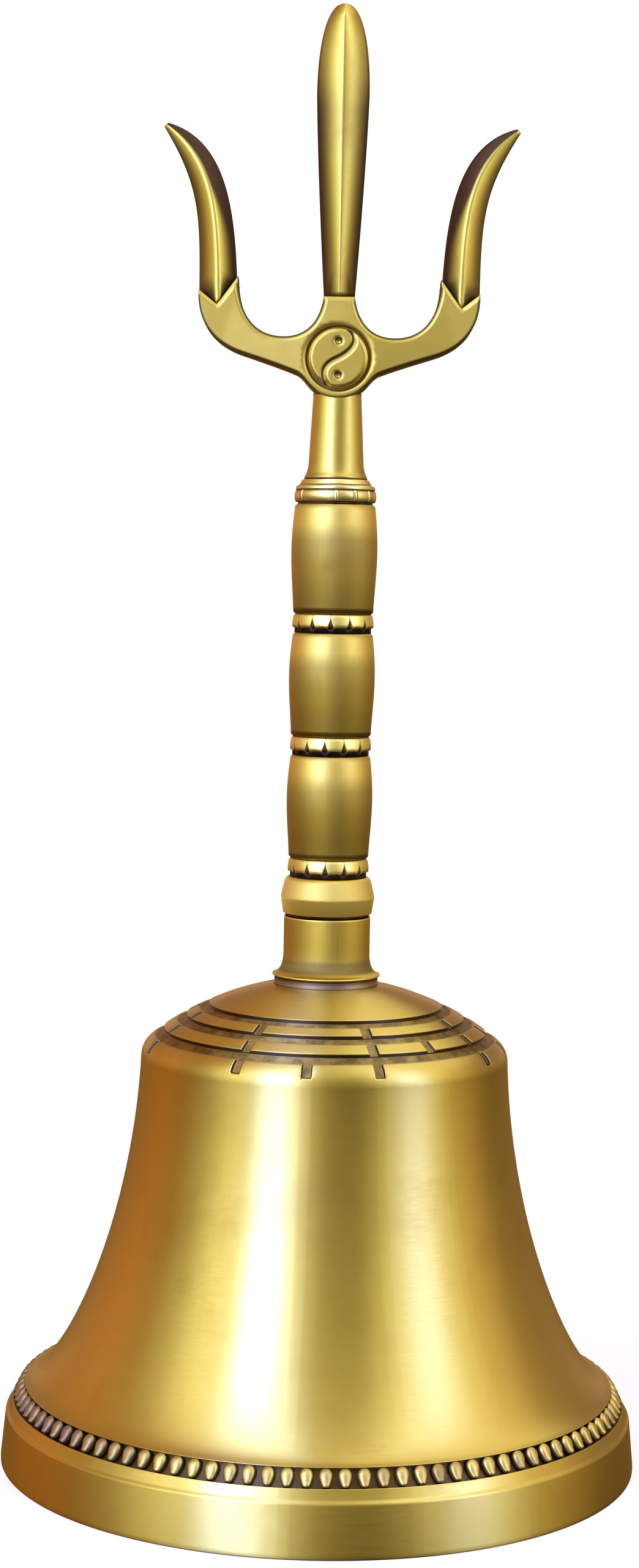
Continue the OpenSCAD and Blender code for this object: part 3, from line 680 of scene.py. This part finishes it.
def top_collar_solid():
    """A ring like a bent rod with thin upright knots, under two bevelled steps, and its dark lines:
    painted shade in the steps' seams, beside the knots and at its foot."""
    low, high, _ = extent("top_collar")
    foot, step, ledge = low + 0.3, high - 1.65, high - 0.82
    middle, tall = (foot + step) / 2, (step - foot) / 2
    a = np.linspace(-1.35, 1.35, 13)
    swell = np.stack([5.72 + 0.33 * np.cos(a), middle + tall * np.sin(a)], -1)
    verts, faces = turned([
        (5.6, low), (5.6, foot - 0.02, 0.05), *swell, (5.72, step + 0.1, 0.06),
        (5.95, step + 0.16, 0.1), (5.9, ledge - 0.2, 0.25), (5.5, ledge - 0.02, 0.1),
        (5.3, ledge + 0.03, 0.05), (5.35, ledge + 0.14, 0.08), (4.95, high, 0.12)], 360)
    r, z = np.hypot(verts[:, 0], verts[:, 1]), verts[:, 2]
    degrees = np.degrees(np.arctan2(verts[:, 0], -verts[:, 1]))[:, None]
    away = np.abs((degrees - KNOTS + 180) % 360 - 180).min(1) * np.radians(r)
    on_ring = (z > foot - 0.1) * (z < step + 0.05) * smooth(r, 5.6, 5.75)
    knot = smooth(away, 0.34, 0.12) * on_ring
    verts[:, :2] *= (1 + (0.12 * knot - 0.06) / r * (on_ring > 0))[:, None]
    verts[:, 2] += (z - middle) * 0.1 * knot
    beside = smooth(away, 0.55, 0.38) * smooth(away, 0.22, 0.34) * on_ring
    seams = smooth(np.abs(z - step - 0.06), 0.2, 0.08)
    seams += smooth(np.abs(z - ledge - 0.03), 0.12, 0.05)
    # painted shade beside the knots, in the steps' seams and at the foot
    dark = np.maximum(0.5 * beside, 0.6 * seams * (r > 5.2)) + (z < foot + 0.05)
    return verts, faces, {"cut": np.clip(dark, 0, 1)}


# The trident, whose flat outlines are worked out round the boss's centre

NECK_Z = extent("trident_fork")[0]
BOSS_Z = NECK_Z + 17.8
BOSS_R = 5.85
BOSS_T = 7.6
PLATE_T = 6.2
SWELL_W = 12.0
MEDAL_R = 4.4
# Width and depth of the bevels along the upper and the lower edges
BEVELS = ((0.65, 0.34), (0.3, 0.12))
MEDAL_GAP = 0.4
MEDAL_T = 1.0
EYE_UP = 0.57 * MEDAL_R
FORK_TOP = 9.05
BLADE_X = 18.1
BLADE_W = 5.8
BLADE_H = 26.7
INNER_LIP = np.array((BLADE_X - BLADE_W * 0.53, 11.8))
SEAT_FOOT = np.array((BLADE_X, 7.65))
OUTER_LIP = np.array((BLADE_X + BLADE_W * 0.47, 9.8))
CROTCH = np.array((8.2, 3.05))
ELBOW = np.array((BLADE_X - 4.1, 0.45))
ARMPIT = (BOSS_R - 0.25) * np.array((math.cos(math.radians(29)), -math.sin(math.radians(29))))
SPEAR_SEAT = np.array((2.3, FORK_TOP))
# Size of the fillet between an arm and the boss, and the angle at which it meets the boss
FILLET = 1.4
FILLET_END = math.radians(-41)


def bend(p, out, q, back, steps):
    """Points from p to q along a curve that leaves p by out and comes to q from back."""
    p, q = np.array(p, float), np.array(q, float)
    return curve((p, p + out, q + back, q), steps)


def fork_outline():
    """The right half of the fork and its boss, from the middle of the top round to the bottom."""
    under = bend(ELBOW, (-3.5, -1.1), ARMPIT, (2.6, 1.1), 18)[1:]
    under = under[np.hypot(*(under - ARMPIT).T) > FILLET]
    angles = np.linspace(FILLET_END, -math.pi / 2, 22)
    boss = BOSS_R * np.stack([np.cos(angles), np.sin(angles)], -1)
    along = 0.5 * FILLET * unit((-boss[0, 1], boss[0, 0]))
    return np.concatenate([
        [(0, FORK_TOP)], spread((0, FORK_TOP), SPEAR_SEAT, 3),
        bend(SPEAR_SEAT, (0.4, -3.3), CROTCH, (-3.8, 0), 18),
        bend(CROTCH, (4.8, 0), INNER_LIP, (-0.1, -4.9), 18)[1:],
        spread(INNER_LIP, SEAT_FOOT, 8), [SEAT_FOOT], spread(SEAT_FOOT, OUTER_LIP, 6),
        bend(OUTER_LIP, (0.2, -5), ELBOW, (4.5, 1.35), 18), under,
        bend(under[-1], -0.6 * FILLET * unit((2.6, 1.1)), boss[0], along, 10)[1:-1], boss])


def mirrored(half):
    """A closed outline from its right half, whose ends lie on the middle line."""
    return np.concatenate([half, half[-2:0:-1] * (-1, 1)])


def drawn_in(outline, d):
    """A closed clockwise outline, moved in by a distance."""
    b = unit(np.roll(outline, -1, axis=0) - outline)
    a = np.roll(b, 1, axis=0)
    normal = unit(np.stack([(a + b)[:, 1], -(a + b)[:, 0]], -1))
    stretch = 1 / np.maximum(0.45, normal[:, 0] * a[:, 1] - normal[:, 1] * a[:, 0])
    return outline + normal * (d * stretch)[:, None]


def side_of(points, line):
    """Distance of each point to an open line, positive on the line's right."""
    best, sign = np.full(len(points), 1e9), np.ones(len(points))
    for a, b in zip(line[:-1], line[1:]):
        way, rel = b - a, points - a
        t = np.clip((rel @ way) / max(way @ way, 1e-12), 0, 1)
        away = np.linalg.norm(rel - t[:, None] * way, axis=1)
        side = np.where(rel[:, 0] * way[1] < rel[:, 1] * way[0], -1, 1)
        sign = np.where(away < best, side, sign)
        best = np.minimum(best, away)
    return best * sign


def distance_to(points, line):
    return np.abs(side_of(points, line))


def looped(line):
    """A line that comes back to its start."""
    return np.concatenate([line, line[:1]])


def circle(r, count, centre=(0, 0)):
    angles = np.arange(count) * 2 * math.pi / count
    return np.array(centre) + r * np.stack([np.cos(angles), np.sin(angles)], -1)


def face_of(outline, loops, lines, spacing):
    """Triangles over the area inside an outline, with loops and open lines as edges and a grid
    between them."""
    low, high = outline.min(0), outline.max(0)
    rows = np.arange(low[1], high[1], spacing * 0.87)
    grid = np.array([(x + (k % 2) * spacing / 2, y) for k, y in enumerate(rows)
                     for x in np.arange(low[0], high[0], spacing)])
    parts = [outline, *loops, *lines]
    edges, start, keep = [], 0, np.full(len(grid), True)
    for k, line in enumerate(parts):
        at = np.arange(start, start + len(line))
        start += len(line)
        if k <= len(loops):
            at, line = looped(at), looped(line)
        edges += zip(at[:-1].tolist(), at[1:].tolist())
        keep &= distance_to(grid, line) > (0.4 if k else 0.55) * spacing
    coords = [Vector(p) for p in np.concatenate([*parts, grid[keep]])]
    verts, _, faces, *_ = delaunay_2d_cdt(coords, edges, [], 1, 1e-5)
    return np.array([tuple(v) for v in verts]), np.array([tuple(f) for f in faces])


def turning(loops):
    """Twice the signed area inside closed flat loops, all together."""
    after = np.roll(loops, -1, axis=-2)
    return np.sum(loops[..., 0] * after[..., 1] - loops[..., 1] * after[..., 0])


def plate_solid(outline, loops, spacing, height, back=None, lines=()):
    """A mesh whose front is a relief of the given height over a flat outline. Its back is the
    same, or flat at the given place."""
    flat, tris = face_of(outline, loops, lines, spacing)
    front = height(flat)
    rear = front if back is None else np.full(len(flat), back)
    verts = [np.stack([flat[:, 0], y, flat[:, 1]], -1) for y in (-front, rear)]
    n, i = len(flat), np.arange(len(outline))
    j = np.roll(i, -1)
    side = np.concatenate([np.stack([i, j, j + n], -1), np.stack([i, j + n, i + n], -1)])
    if turning(flat[tris]) * turning(outline) > 0:
        side = side[:, ::-1]
    return closed(np.concatenate(verts), np.concatenate([tris, tris[:, ::-1] + n, side]))


def outline_halves(outline):
    """The fork's upper edges, from one arm's outer lip to the other's, and its lower edges."""
    a, b = (int(np.argmin(np.hypot(*(outline - OUTER_LIP * (side, 1)).T))) for side in (1, -1))
    return np.concatenate([outline[b:], outline[:a + 1]]), outline[a:b + 1]


def fork_height(points, outline):
    """Half the thickness of the fork at points of its outline's plane."""
    rho = np.hypot(*points.T)
    near = np.clip(1 - (rho - BOSS_R + 0.45) / SWELL_W, 0, 1)
    height = PLATE_T / 2 + (BOSS_T / 2 - 0.05 - PLATE_T / 2) * near ** 1.15
    recess = MEDAL_R + MEDAL_GAP
    height -= 0.26 * smooth(rho, recess + 0.36, recess + 0.02)
    height -= (MEDAL_T - 0.26) * smooth(rho, recess + 0.04, recess - 0.08)
    for line, (wide, deep) in zip(outline_halves(outline), BEVELS):
        height -= deep * (1 - np.clip(distance_to(points, line) / wide, 0, 1)) ** 1.25
    return height


def fork_solid():
    """The fork. Its side walls and its outline carry painted shade, but not where the blades and
    the neck meet it."""
    outline = mirrored(fork_outline())
    inner = [drawn_in(outline, d) for d in (0.06, 0.16, 0.3, 0.45, 0.65, 0.78)]
    rings = [circle(MEDAL_R + MEDAL_GAP + d, 96) for d in (-0.2, -0.08, 0.04, 0.19, 0.38)]
    verts, faces = plate_solid(outline, inner + rings, 0.55, lambda p: fork_height(p, outline))
    flat = verts[:, ::2]
    edge = distance_to(flat, looped(outline))
    under = smooth(distance_to(flat, outline_halves(outline)[1]), 0.3, 0.15)
    seats = [np.array((INNER_LIP, SEAT_FOOT, OUTER_LIP)) * (side, 1) for side in (1, -1)]
    seats.append(np.array((SPEAR_SEAT * (-1, 1), SPEAR_SEAT)))
    clear = smooth(np.min([distance_to(flat, line) for line in seats], 0), 0.3, 0.7)
    on_neck = smooth(np.abs(flat[:, 0]), 3.9, 2.6) * smooth(flat[:, 1], -4.0, -5.0)
    # painted shade: a dark line inside the outline, and on the side walls, lighter on the lower
    # edges
    rim = 0.9 * smooth(edge, 0.42, 0.2) * smooth(edge, 0.0, 0.05) * clear * (1 - 0.7 * on_neck)
    walls = (0.9 - 0.5 * under) * smooth(edge, 0.1, 0.03)
    return verts + (0, 0, BOSS_Z), faces, {"age": np.maximum(walls, rim)}


def neck_solid():
    """The neck, up into the boss, and the dark seam at its foot."""
    foot, boss = NECK_Z, BOSS_Z - BOSS_R
    flare = ((4.45, foot + 0.8), (4.25, foot + 1.4), (4.15, foot + 1.9), (4.1, foot + 2.5))
    corners = [(4.7, foot, 0.12), (4.7, foot + 0.42, 0.18), *curve(flare, 6)]
    corners += [(3.6, boss + 0.3), (3.6, boss + 0.9)]
    verts, faces = turned(corners, 144, bore=0.05)
    return verts, faces, {"cut": smooth(verts[:, 2], foot + 0.32, foot + 0.2)}


# Places across a blade, from edge to edge, drawn together at its crest
ACROSS = [np.linspace(0, 0.36, 8), np.linspace(0.385, 0.615, 13), np.linspace(0.64, 1, 8)]
ACROSS = np.concatenate(ACROSS)


def section(full, crest):
    """Share of the half thickness at the places across a blade, with a rounded crest midway."""
    t = 1 - np.abs(2 * ACROSS - 1)
    flanks = t + 4 * t * (1 - t) * (full - 0.5)
    near = 1 - np.clip(np.abs(ACROSS - 0.5) / crest, 0, 1)
    return flanks - (3 - 4 * full) * crest * near ** 2


def blade_mesh(rows, painted_shades):
    """A closed mesh from the grid of a blade's front, mirrored to its back along shared edges."""
    front = np.array(rows)
    front[:, (0, -1), 1] = 0
    ring = np.concatenate([front, front[:, -2:0:-1] * (1, -1, 1)], axis=1)
    painted_shades = np.concatenate([painted_shades, np.array(painted_shades)[:, -2:0:-1]], axis=1)
    count, columns = ring.shape[:2]
    ends = []
    for base, turn in ((0, 1), ((count - 1) * columns, -1)):
        for k in range(front.shape[1] - 1):
            # at the edges two corners are one, and the face is a triangle
            face = dict.fromkeys((k, k + 1, columns - k - 1, (columns - k) % columns))
            ends.append([base + i for i in face][::turn])
    strips, tips = (np.array([f for f in ends if len(f) == size]) for size in (4, 3))
    quads = np.concatenate([grid_faces(count, columns)[:-columns, ::-1], strips])
    return *closed(ring.reshape(-1, 3), quads, tips), {"age": painted_shades.ravel()}


def seat_height(x):
    """Height of the V-shaped seat over the boss's centre, across the right-hand blade's root."""
    slopes = [(lip - SEAT_FOOT)[1] / (lip - SEAT_FOOT)[0] for lip in (INNER_LIP, OUTER_LIP)]
    return SEAT_FOOT[1] + (x - SEAT_FOOT[0]) * np.where(x < SEAT_FOOT[0], *slopes)


def side_blade_solid(side):
    """The right-hand or left-hand blade, from its V-shaped seat to its tip."""
    root, tip = SEAT_FOOT[1] - 0.5, SEAT_FOOT + (8.2, BLADE_H)
    # each edge's two pulls: how far to the side, and at which share of the blade's height
    pulls = ((0.1, 0.49), (-0.25, 0.65)), ((0.5, 0.44), (0.9, 0.92))
    outer, inner = (
        [(x, root), *((x + dx, root + BLADE_H * up) for dx, up in pair), tip + over]
        for x, pair, over in zip((OUTER_LIP[0], INNER_LIP[0]), pulls, ((0.1, -0.6), (-0.5, 0))))

    def place(t):
        a, b = bezier(inner, t), bezier(outer, t)
        half = (6.1 * (1 - t ** 2) + 0.5 * t ** 2) / 2
        return a + (b - a) * ACROSS[:, None], half * section(0.6, 0.09)

    low, high = np.zeros(len(ACROSS)), np.full(len(ACROSS), 0.5)
    for _ in range(30):
        middle = (low + high) / 2
        p, _ = place(middle)
        above = p[:, 1] > seat_height(p[:, 0])
        low, high = np.where(above, low, middle), np.where(above, middle, high)
    start = (low + high) / 2
    away = np.abs(ACROSS - 0.5)
    rows, painted_shades = [], []
    for v in np.concatenate([[0, 0.008], np.linspace(0.02, 0.97, 44), [0.985, 1.0]]):
        p, y = place(start + (1 - start) * v)
        y = np.maximum(y, 0.02) * (0.955 if v == 0 else 1)
        rows.append(np.stack([side * p[:, 0], -y, p[:, 1] + BOSS_Z], -1))
        # painted shade: the flank that faces the middle is darker, and both are near the seat,
        # beside a crest that ends in a point
        up = smooth(v, 0.15, 0.6)
        inner_side = smooth(0.5 - ACROSS, 0.1 - 0.08 * up, 0.42 - 0.3 * up)
        flank_shade = np.maximum(inner_side, 0.8 * smooth(ACROSS, 0.6, 0.97))
        foot = 0.9 * smooth(v, 0.13, 0.02) * smooth(away, 0.02 + 0.5 * v, 0.08 + 0.9 * v)
        painted_shades.append(np.maximum(flank_shade, foot))
    return blade_mesh(rows, painted_shades)


def centre_blade_solid():
    """The middle blade, from its root to its tip."""
    low, high, _ = extent("centre_blade")
    tall = high - low
    root, half = 2.3, 3.9
    widest = (half, 0.69 * tall)
    lower = curve(((root, 0), (root + 0.6, tall * 0.2), (half - 0.25, tall * 0.48), widest), 34)
    upper = curve((widest, (half, tall * 0.9), (half * 0.56, tall), (0.25, tall)), 34)
    away = np.abs(2 * ACROSS - 1)
    rows, painted_shades = [], []
    for x, z in np.concatenate([lower, upper[1:]]):
        thick = 3.05 * (1 - 0.25 * z / tall) * min(1, x / root)
        y = np.maximum(thick * section(0.66, 0.03), 0.02)
        rows.append(np.stack([x * (2 * ACROSS - 1), -y, low + z + 0 * ACROSS], -1))
        # painted shade: dark along the edges below the tip, and beside a crest that fans out at the
        # root
        middle = smooth(z, 0.9 * tall, 0.6 * tall)
        edges = 0.2 * middle + (0.5 + 0.3 * middle) * smooth(away, 0.2, 1.0)
        foot = 0.85 * smooth(z, 7, 1) * smooth(away, 0.35 - 0.02 * z, 0.6 - 0.02 * z)
        painted_shades.append(np.maximum(edges, foot))
    return blade_mesh(rows, painted_shades)


def groove_line():
    """The S-shaped line between a medallion's two halves, from the bottom up."""
    upper = curve(MEDAL_R * np.array(((0, 0.04), (0.36, 0.24), (0.72, 0.55), (0.33, 0.97))), 22)
    lower = curve(MEDAL_R * np.array(((0, 0.04), (-0.5, -0.16), (-0.68, -0.5), (-0.38, -0.95))), 22)
    return np.concatenate([lower[:0:-1], upper])


# Across the S-shaped groove, from its steep upper side to its sloping lower side: place and depth
S_GROOVE = ((-0.24, 0.0), (-0.12, 0.3), (0.0, 0.38), (0.18, 0.36), (0.75, 0.0))


def medallion_height(points):
    """Height of a medallion's face over the boss's middle, and how dark it is there: painted shade
    in the groove and in the upper half of each dimple.
    """
    away = side_of(points, groove_line())
    height = BOSS_T / 2 - np.interp(away, *np.array(S_GROOVE).T)
    dark = smooth(away, -0.26, -0.16) * smooth(away, 0.3, 0.1)
    for up in (-EYE_UP, EYE_UP):
        x, z = points[:, 0], points[:, 1] - up
        dimple = np.hypot(x, z)
        height -= 0.38 * smooth(dimple, 0.62, 0.34) + 0.05 * smooth(dimple, 0.95, 0.6)
        dark = np.maximum(dark, smooth(dimple, 0.62, 0.48) * smooth(z, -0.2, 0.1))
    height -= 0.3 * smooth(np.hypot(*points.T), MEDAL_R - 0.5, MEDAL_R)
    return height, dark


def medallion_solid(turn):
    """A medallion that faces the front, or the back where turn is -1."""
    loops = [circle(MEDAL_R - d, 110) for d in (0.12, 0.25, 0.38, 0.5)]
    for up in (-EYE_UP, EYE_UP):
        loops += [circle(r, 24, (0, up)) for r in (0.3, 0.42, 0.52, 0.62, 0.95)]
    lines = []
    for d in (-0.4, -0.24, -0.12, 0.0, 0.18, 0.36, 0.55, 0.75, 0.9):
        side = groove_line() - d * normals(groove_line())
        lines.append(side[np.hypot(*side.T) < MEDAL_R - 0.62])
    rim, back = circle(MEDAL_R, 120)[::-1], MEDAL_T - BOSS_T / 2
    verts, faces = plate_solid(rim, loops, 0.24, lambda p: medallion_height(p)[0], back, lines)
    # painted shade in the groove and the dimples
    cut = medallion_height(verts[:, ::2])[1]
    return verts * (turn, turn, 1) + (0, 0, BOSS_Z), faces, {"cut": cut}


# The studio

PHOTO_HEIGHT = 2560
FOCAL_PX = 4600.0
CAMERA_AT = (0.0, -422.6, 131.4)
CAMERA_YAW, CAMERA_PITCH, CAMERA_ROLL = 0.209, 3.905, 1.12
# Radius of the floor, and the radius at which it begins to fade out, in metres
FLOOR_R = 0.28
FADE_R = 0.16
# Light of the room all round over eye height: azimuth from the front towards +X, and colour
ROOM = (
    (-180, 0.58, 0.34, 0.2), (-120, 0.78, 0.37, 0.17), (-96, 0.55, 0.36, 0.18),
    (-80, 0.8, 0.74, 0.55), (-60, 1.75, 1.78, 1.6), (-42, 1.8, 1.95, 2.1),
    (-20, 1.6, 1.7, 1.8), (-8, 0.8, 0.74, 0.48), (2, 0.38, 0.33, 0.16),
    (22, 0.3, 0.26, 0.12), (31, 0.75, 0.69, 0.36), (42, 1.35, 1.36, 1.05),
    (60, 1.7, 1.72, 1.5), (76, 1.2, 1.1, 0.75), (92, 0.88, 0.64, 0.36),
    (116, 0.46, 0.32, 0.18), (180, 0.58, 0.36, 0.22),
)
# Cores of the two soft panels of light: azimuth, half width, fade, and colour
CORES = ((-31, 10, 9, (2.0, 3.2, 12.0)), (57, 9, 14, (0.5, 0.9, 4.0)))
# Colour and strength of the room's light at each height, in degrees over the horizon
HEIGHTS = (
    (-90, 0.09, 0.065, 0.035), (-22, 0.13, 0.095, 0.04), (-14, 0.24, 0.18, 0.07),
    (-7, 0.46, 0.38, 0.1), (-3, 0.72, 0.66, 0.34), (2, 1.1, 1.12, 1.0),
    (7, 1.22, 1.27, 1.4), (40, 1.25, 1.3, 1.5), (90, 1.25, 1.3, 1.5),
)
# Light from high up, which takes the place of the room's between these two heights
HIGH_UP = (25.0, 45.0)
OVERHEAD = (
    (-180, 1.5, 1.35, 0.9), (-168, 0.8, 0.48, 0.22), (-150, 0.55, 0.3, 0.14),
    (-100, 0.6, 0.35, 0.18), (-60, 1.7, 1.7, 1.5), (-42, 2.4, 2.9, 5.5),
    (-22, 2.6, 3.4, 7.5), (-4, 1.0, 0.92, 0.6), (24, 1.0, 0.92, 0.6),
    (42, 1.8, 1.8, 1.6), (58, 2.3, 2.7, 5.0), (74, 1.7, 1.6, 1.3),
    (110, 1.4, 1.3, 1.0), (165, 1.4, 1.3, 0.9), (180, 1.5, 1.35, 0.9),
)
# Shade behind the object, over the horizon, and a warm glow low down at the left
BEHIND = (0.12, 0.06, 0.03)
LOW_GLOW = (0.17, 0.065, 0.012)
GLOW_AT = 120.0
# How far the panels are turned under the horizon, in degrees
LOW_TURN = 12.0


def camera():
    """The photo's camera: its place, its tilt and a lens that takes in the frame."""
    data = bpy.data.cameras.new("camera")
    data.sensor_fit = "VERTICAL"
    data.sensor_height = 36.0
    data.lens = FOCAL_PX / PHOTO_HEIGHT * data.sensor_height
    data.clip_start = 0.01
    place = Matrix.Translation(Vector(CAMERA_AT) * MM)
    for angle, axis in ((CAMERA_YAW, "Z"), (90 - CAMERA_PITCH, "X"), (CAMERA_ROLL, "Z")):
        place = place @ Matrix.Rotation(math.radians(angle), 4, axis)
    bpy.context.scene.camera = added("camera", data)
    bpy.context.scene.camera.matrix_world = place


def ramp_of(s, value, reach, stops):
    """A colour that changes with a value, from stops between -reach and reach."""
    share = s.math("DIVIDE", s.less(value, -reach), 2 * reach)
    ramp = s.node("ValToRGB", {"Fac": share})
    ramp.color_ramp.interpolation = "EASE"
    elements = ramp.color_ramp.elements
    while len(elements) < len(stops):
        elements.new(0.5)
    for element, (at, *colour) in zip(elements, stops):
        element.position = (at + reach) / (2 * reach)
        element.color = (*colour, 1)
    return ramp.outputs["Color"]


def world():
    """A room with soft panels of light that the camera sees as white."""
    studio = bpy.context.scene.world = bpy.data.worlds.new("studio")
    studio.use_nodes = True
    s = Shader(studio.node_tree)
    x, y, z = s.split(s.node("TexCoord").outputs["Generated"])
    azimuth = s.times(s.math("ARCTAN2", x, s.times(y, -1.0)), 180 / math.pi)
    height = s.times(s.math("ARCSINE", z), 180 / math.pi)
    azimuth = s.less(azimuth, s.rise(height, 8.0, -8.0, 0.0, LOW_TURN))
    total = ramp_of(s, azimuth, 180.0, ROOM)
    for middle, half, fade, colour in CORES:
        away = s.math("ABSOLUTE", s.less(azimuth, middle))
        share = s.rise(away, half - fade / 2, half + fade / 2, 1.0, 0.0)
        core = s.node("VectorMath", {0: colour, "Scale": share}, operation="SCALE")
        total = s.vector("ADD", total, core.outputs["Vector"])
    total = s.vector("MULTIPLY", total, ramp_of(s, height, 90.0, HEIGHTS))
    behind = s.rise(s.math("ABSOLUTE", azimuth), 100.0, 150.0)
    total = s.mix(s.times(behind, s.rise(height, 2.0, 14.0, 0.0, 0.5)), total, BEHIND)
    total = s.mix(s.rise(height, *HIGH_UP), total, ramp_of(s, azimuth, 180.0, OVERHEAD))
    left = s.rise(s.math("ABSOLUTE", s.add(azimuth, GLOW_AT)), 20.0, 60.0, 1.0, 0.0)
    low = s.times(left, s.rise(height, -6.0, -14.0))
    total = s.vector("ADD", total, s.mix(low, (0, 0, 0), LOW_GLOW))
    colour = s.mix(s.node("LightPath").outputs["Is Camera Ray"], total, (1, 1, 1))
    background = s.node("Background", {"Color": colour})
    s.node("OutputWorld", {"Surface": background.outputs[0]})


def floor():
    """A pale round table top that keeps the object's shadow and fades out at its rim."""
    material, s = new_material("pale_floor")
    place = s.place()
    colour = s.mix(s.rise(s.noise(place, 6, 3), 0.3, 0.7), (0.88, 0.88, 0.87), (0.92, 0.92, 0.91))
    lit = s.node("BsdfDiffuse", {"Color": colour})
    own = s.node("Emission")
    path = s.node("LightPath")
    share = s.times(path.outputs["Is Camera Ray"], 0.7)
    mixed = s.node("MixShader", {0: share, 1: lit.outputs[0], 2: own.outputs[0]})
    clear = s.node("BsdfTransparent")
    away = s.rise(s.length(place), FADE_R, FLOOR_R)
    away = s.math("MAXIMUM", away, path.outputs["Is Glossy Ray"])
    faded = s.node("MixShader", {0: away, 1: mixed.outputs[0], 2: clear.outputs[0]})
    s.node("OutputMaterial", {"Surface": faded.outputs[0]})
    mesh = bpy.data.meshes.new("floor")
    rim = [(FLOOR_R * math.sin(a), FLOOR_R * math.cos(a), 0) for a in np.arange(96) * math.pi / 48]
    mesh.from_pydata(rim, [], [range(95, -1, -1)])
    mesh.materials.append(material)
    added("floor", mesh)


# The assembly


def dress_bell():
    metal = brass(
        "bell_polished", 0.33, brushed=("around", 0.9), tarnish=0.25, cut=CUT_BROWN,
        age=PAINTED_SHADE_BLACK[0], hollows=BROWN)
    # colour of the painted shade on the beads towards the left
    painted_shade = (0.27, 0.17, 0.10)
    beads = brass("bead_polished", 0.4, warm=(0.34, 0.22, 0.07), tarnish=1.0, age=painted_shade)
    piece("bell_shell", bell_solid(), "bell_body", metal)
    piece("bead_band", bead_solid(), "bell_body", beads)


def dress_handle():
    dark = brass("spacer_dark", 0.4, (0.42, 0.30, 0.18), (0.2, 0.12, 0.07), age=PAINTED_SHADE_BROWN)
    grip = brass("grip_polished", 0.34, GRIP, brushed=("along", 0.85), tarnish=0.4, age=GRIP_PAINTED_SHADE)
    fitting = brass(
        "fitting_polished", 0.4, GRIP, brushed=("along", 0.9), age=PAINTED_HIGHLIGHT, cut=SEAM_AND_SHADE_BROWN)
    marked = brass("ring_polished", 0.4, (0.82, 0.66, 0.18), cut=PAINTED_SHADE_BLACK, grain=0.5)
    stepped = brass("step_polished", 0.36, (0.74, 0.60, 0.2), cut=SEAM_AND_SHADE_BROWN, grain=0.5)
    piece("spacer", spacer_solid(), "crown_spacer", dark)
    piece("socket", socket_solid(), "handle_socket", grip)
    piece("collar", collar_solid(), "socket_collar", fitting)
    # how strong the painted shade is on each barrel
    for word, painted_shade in (("lower", 0.85), ("middle", 1.0), ("upper", 1.1)):
        node = word + "_barrel"
        piece(word + "_grip", barrel_solid(node, painted_shade), node, grip)
    for node, turn in (("lower_ring", -4), ("middle_ring", -8), ("upper_ring", -3)):
        piece(node + "_notched", ring_solid(node, turn), node, marked)
    piece("neck_collar", top_collar_solid(), "top_collar", stepped)


def dress_trident():
    plate = brass(
        "trident_polished", 0.42, SATIN, tarnish=0.4, age=EDGE_PAINTED_SHADE, hollows=BROWN, grain=0.2)
    neck = brass("neck_polished", 0.30, (0.49, 0.36, 0.065), brushed=("along", 0.6), cut=SEAM_AND_SHADE_BROWN)
    piece("fork_plate", fork_solid(), "trident_fork", plate)
    piece("fork_neck", neck_solid(), "trident_fork", neck)
    bright = (0.61, 0.46, 0.075)
    blade = brass("blade_polished", 0.40, bright, tarnish=0.4, age=PAINTED_SHADE_BROWN, grain=0.2)
    piece("spear_blade", centre_blade_solid(), "centre_blade", blade)
    for side, word in ((1, "right"), (-1, "left")):
        solid = side_blade_solid(side)
        piece(word + "_outer_blade", solid, word + "_blade", blade)
    medal = brass(
        "medallion_polished", 0.38, SATIN, tarnish=0.3, cut=SEAM_AND_SHADE_BROWN, hollows=BROWN, grain=0.2)
    for turn, word in ((1, "front"), (-1, "back")):
        solid = medallion_solid(turn)
        piece("medallion_" + word, solid, word + "_medallion", medal)


def dress_inside():
    """Better metal on the inner pieces, whose shapes are the frame's own."""
    inner = brass("clapper_brass", 0.3, brushed=("around", 0.3), tarnish=0.8)
    iron = steel()
    metals = {"tie_rod": iron, "crown_washer": iron, "crown_nut": iron, "hanger_cap": inner,
              "clapper_hanger": inner, "clapper_rod": inner, "clapper_ball": inner}
    for node, metal in metals.items():
        materials = frame["nodes"][node].data.materials
        materials.clear()
        materials.append(metal)


camera()
world()
floor()
dress_bell()
dress_handle()
dress_trident()
dress_inside()
bpy.context.scene.view_settings.view_transform = "Standard"
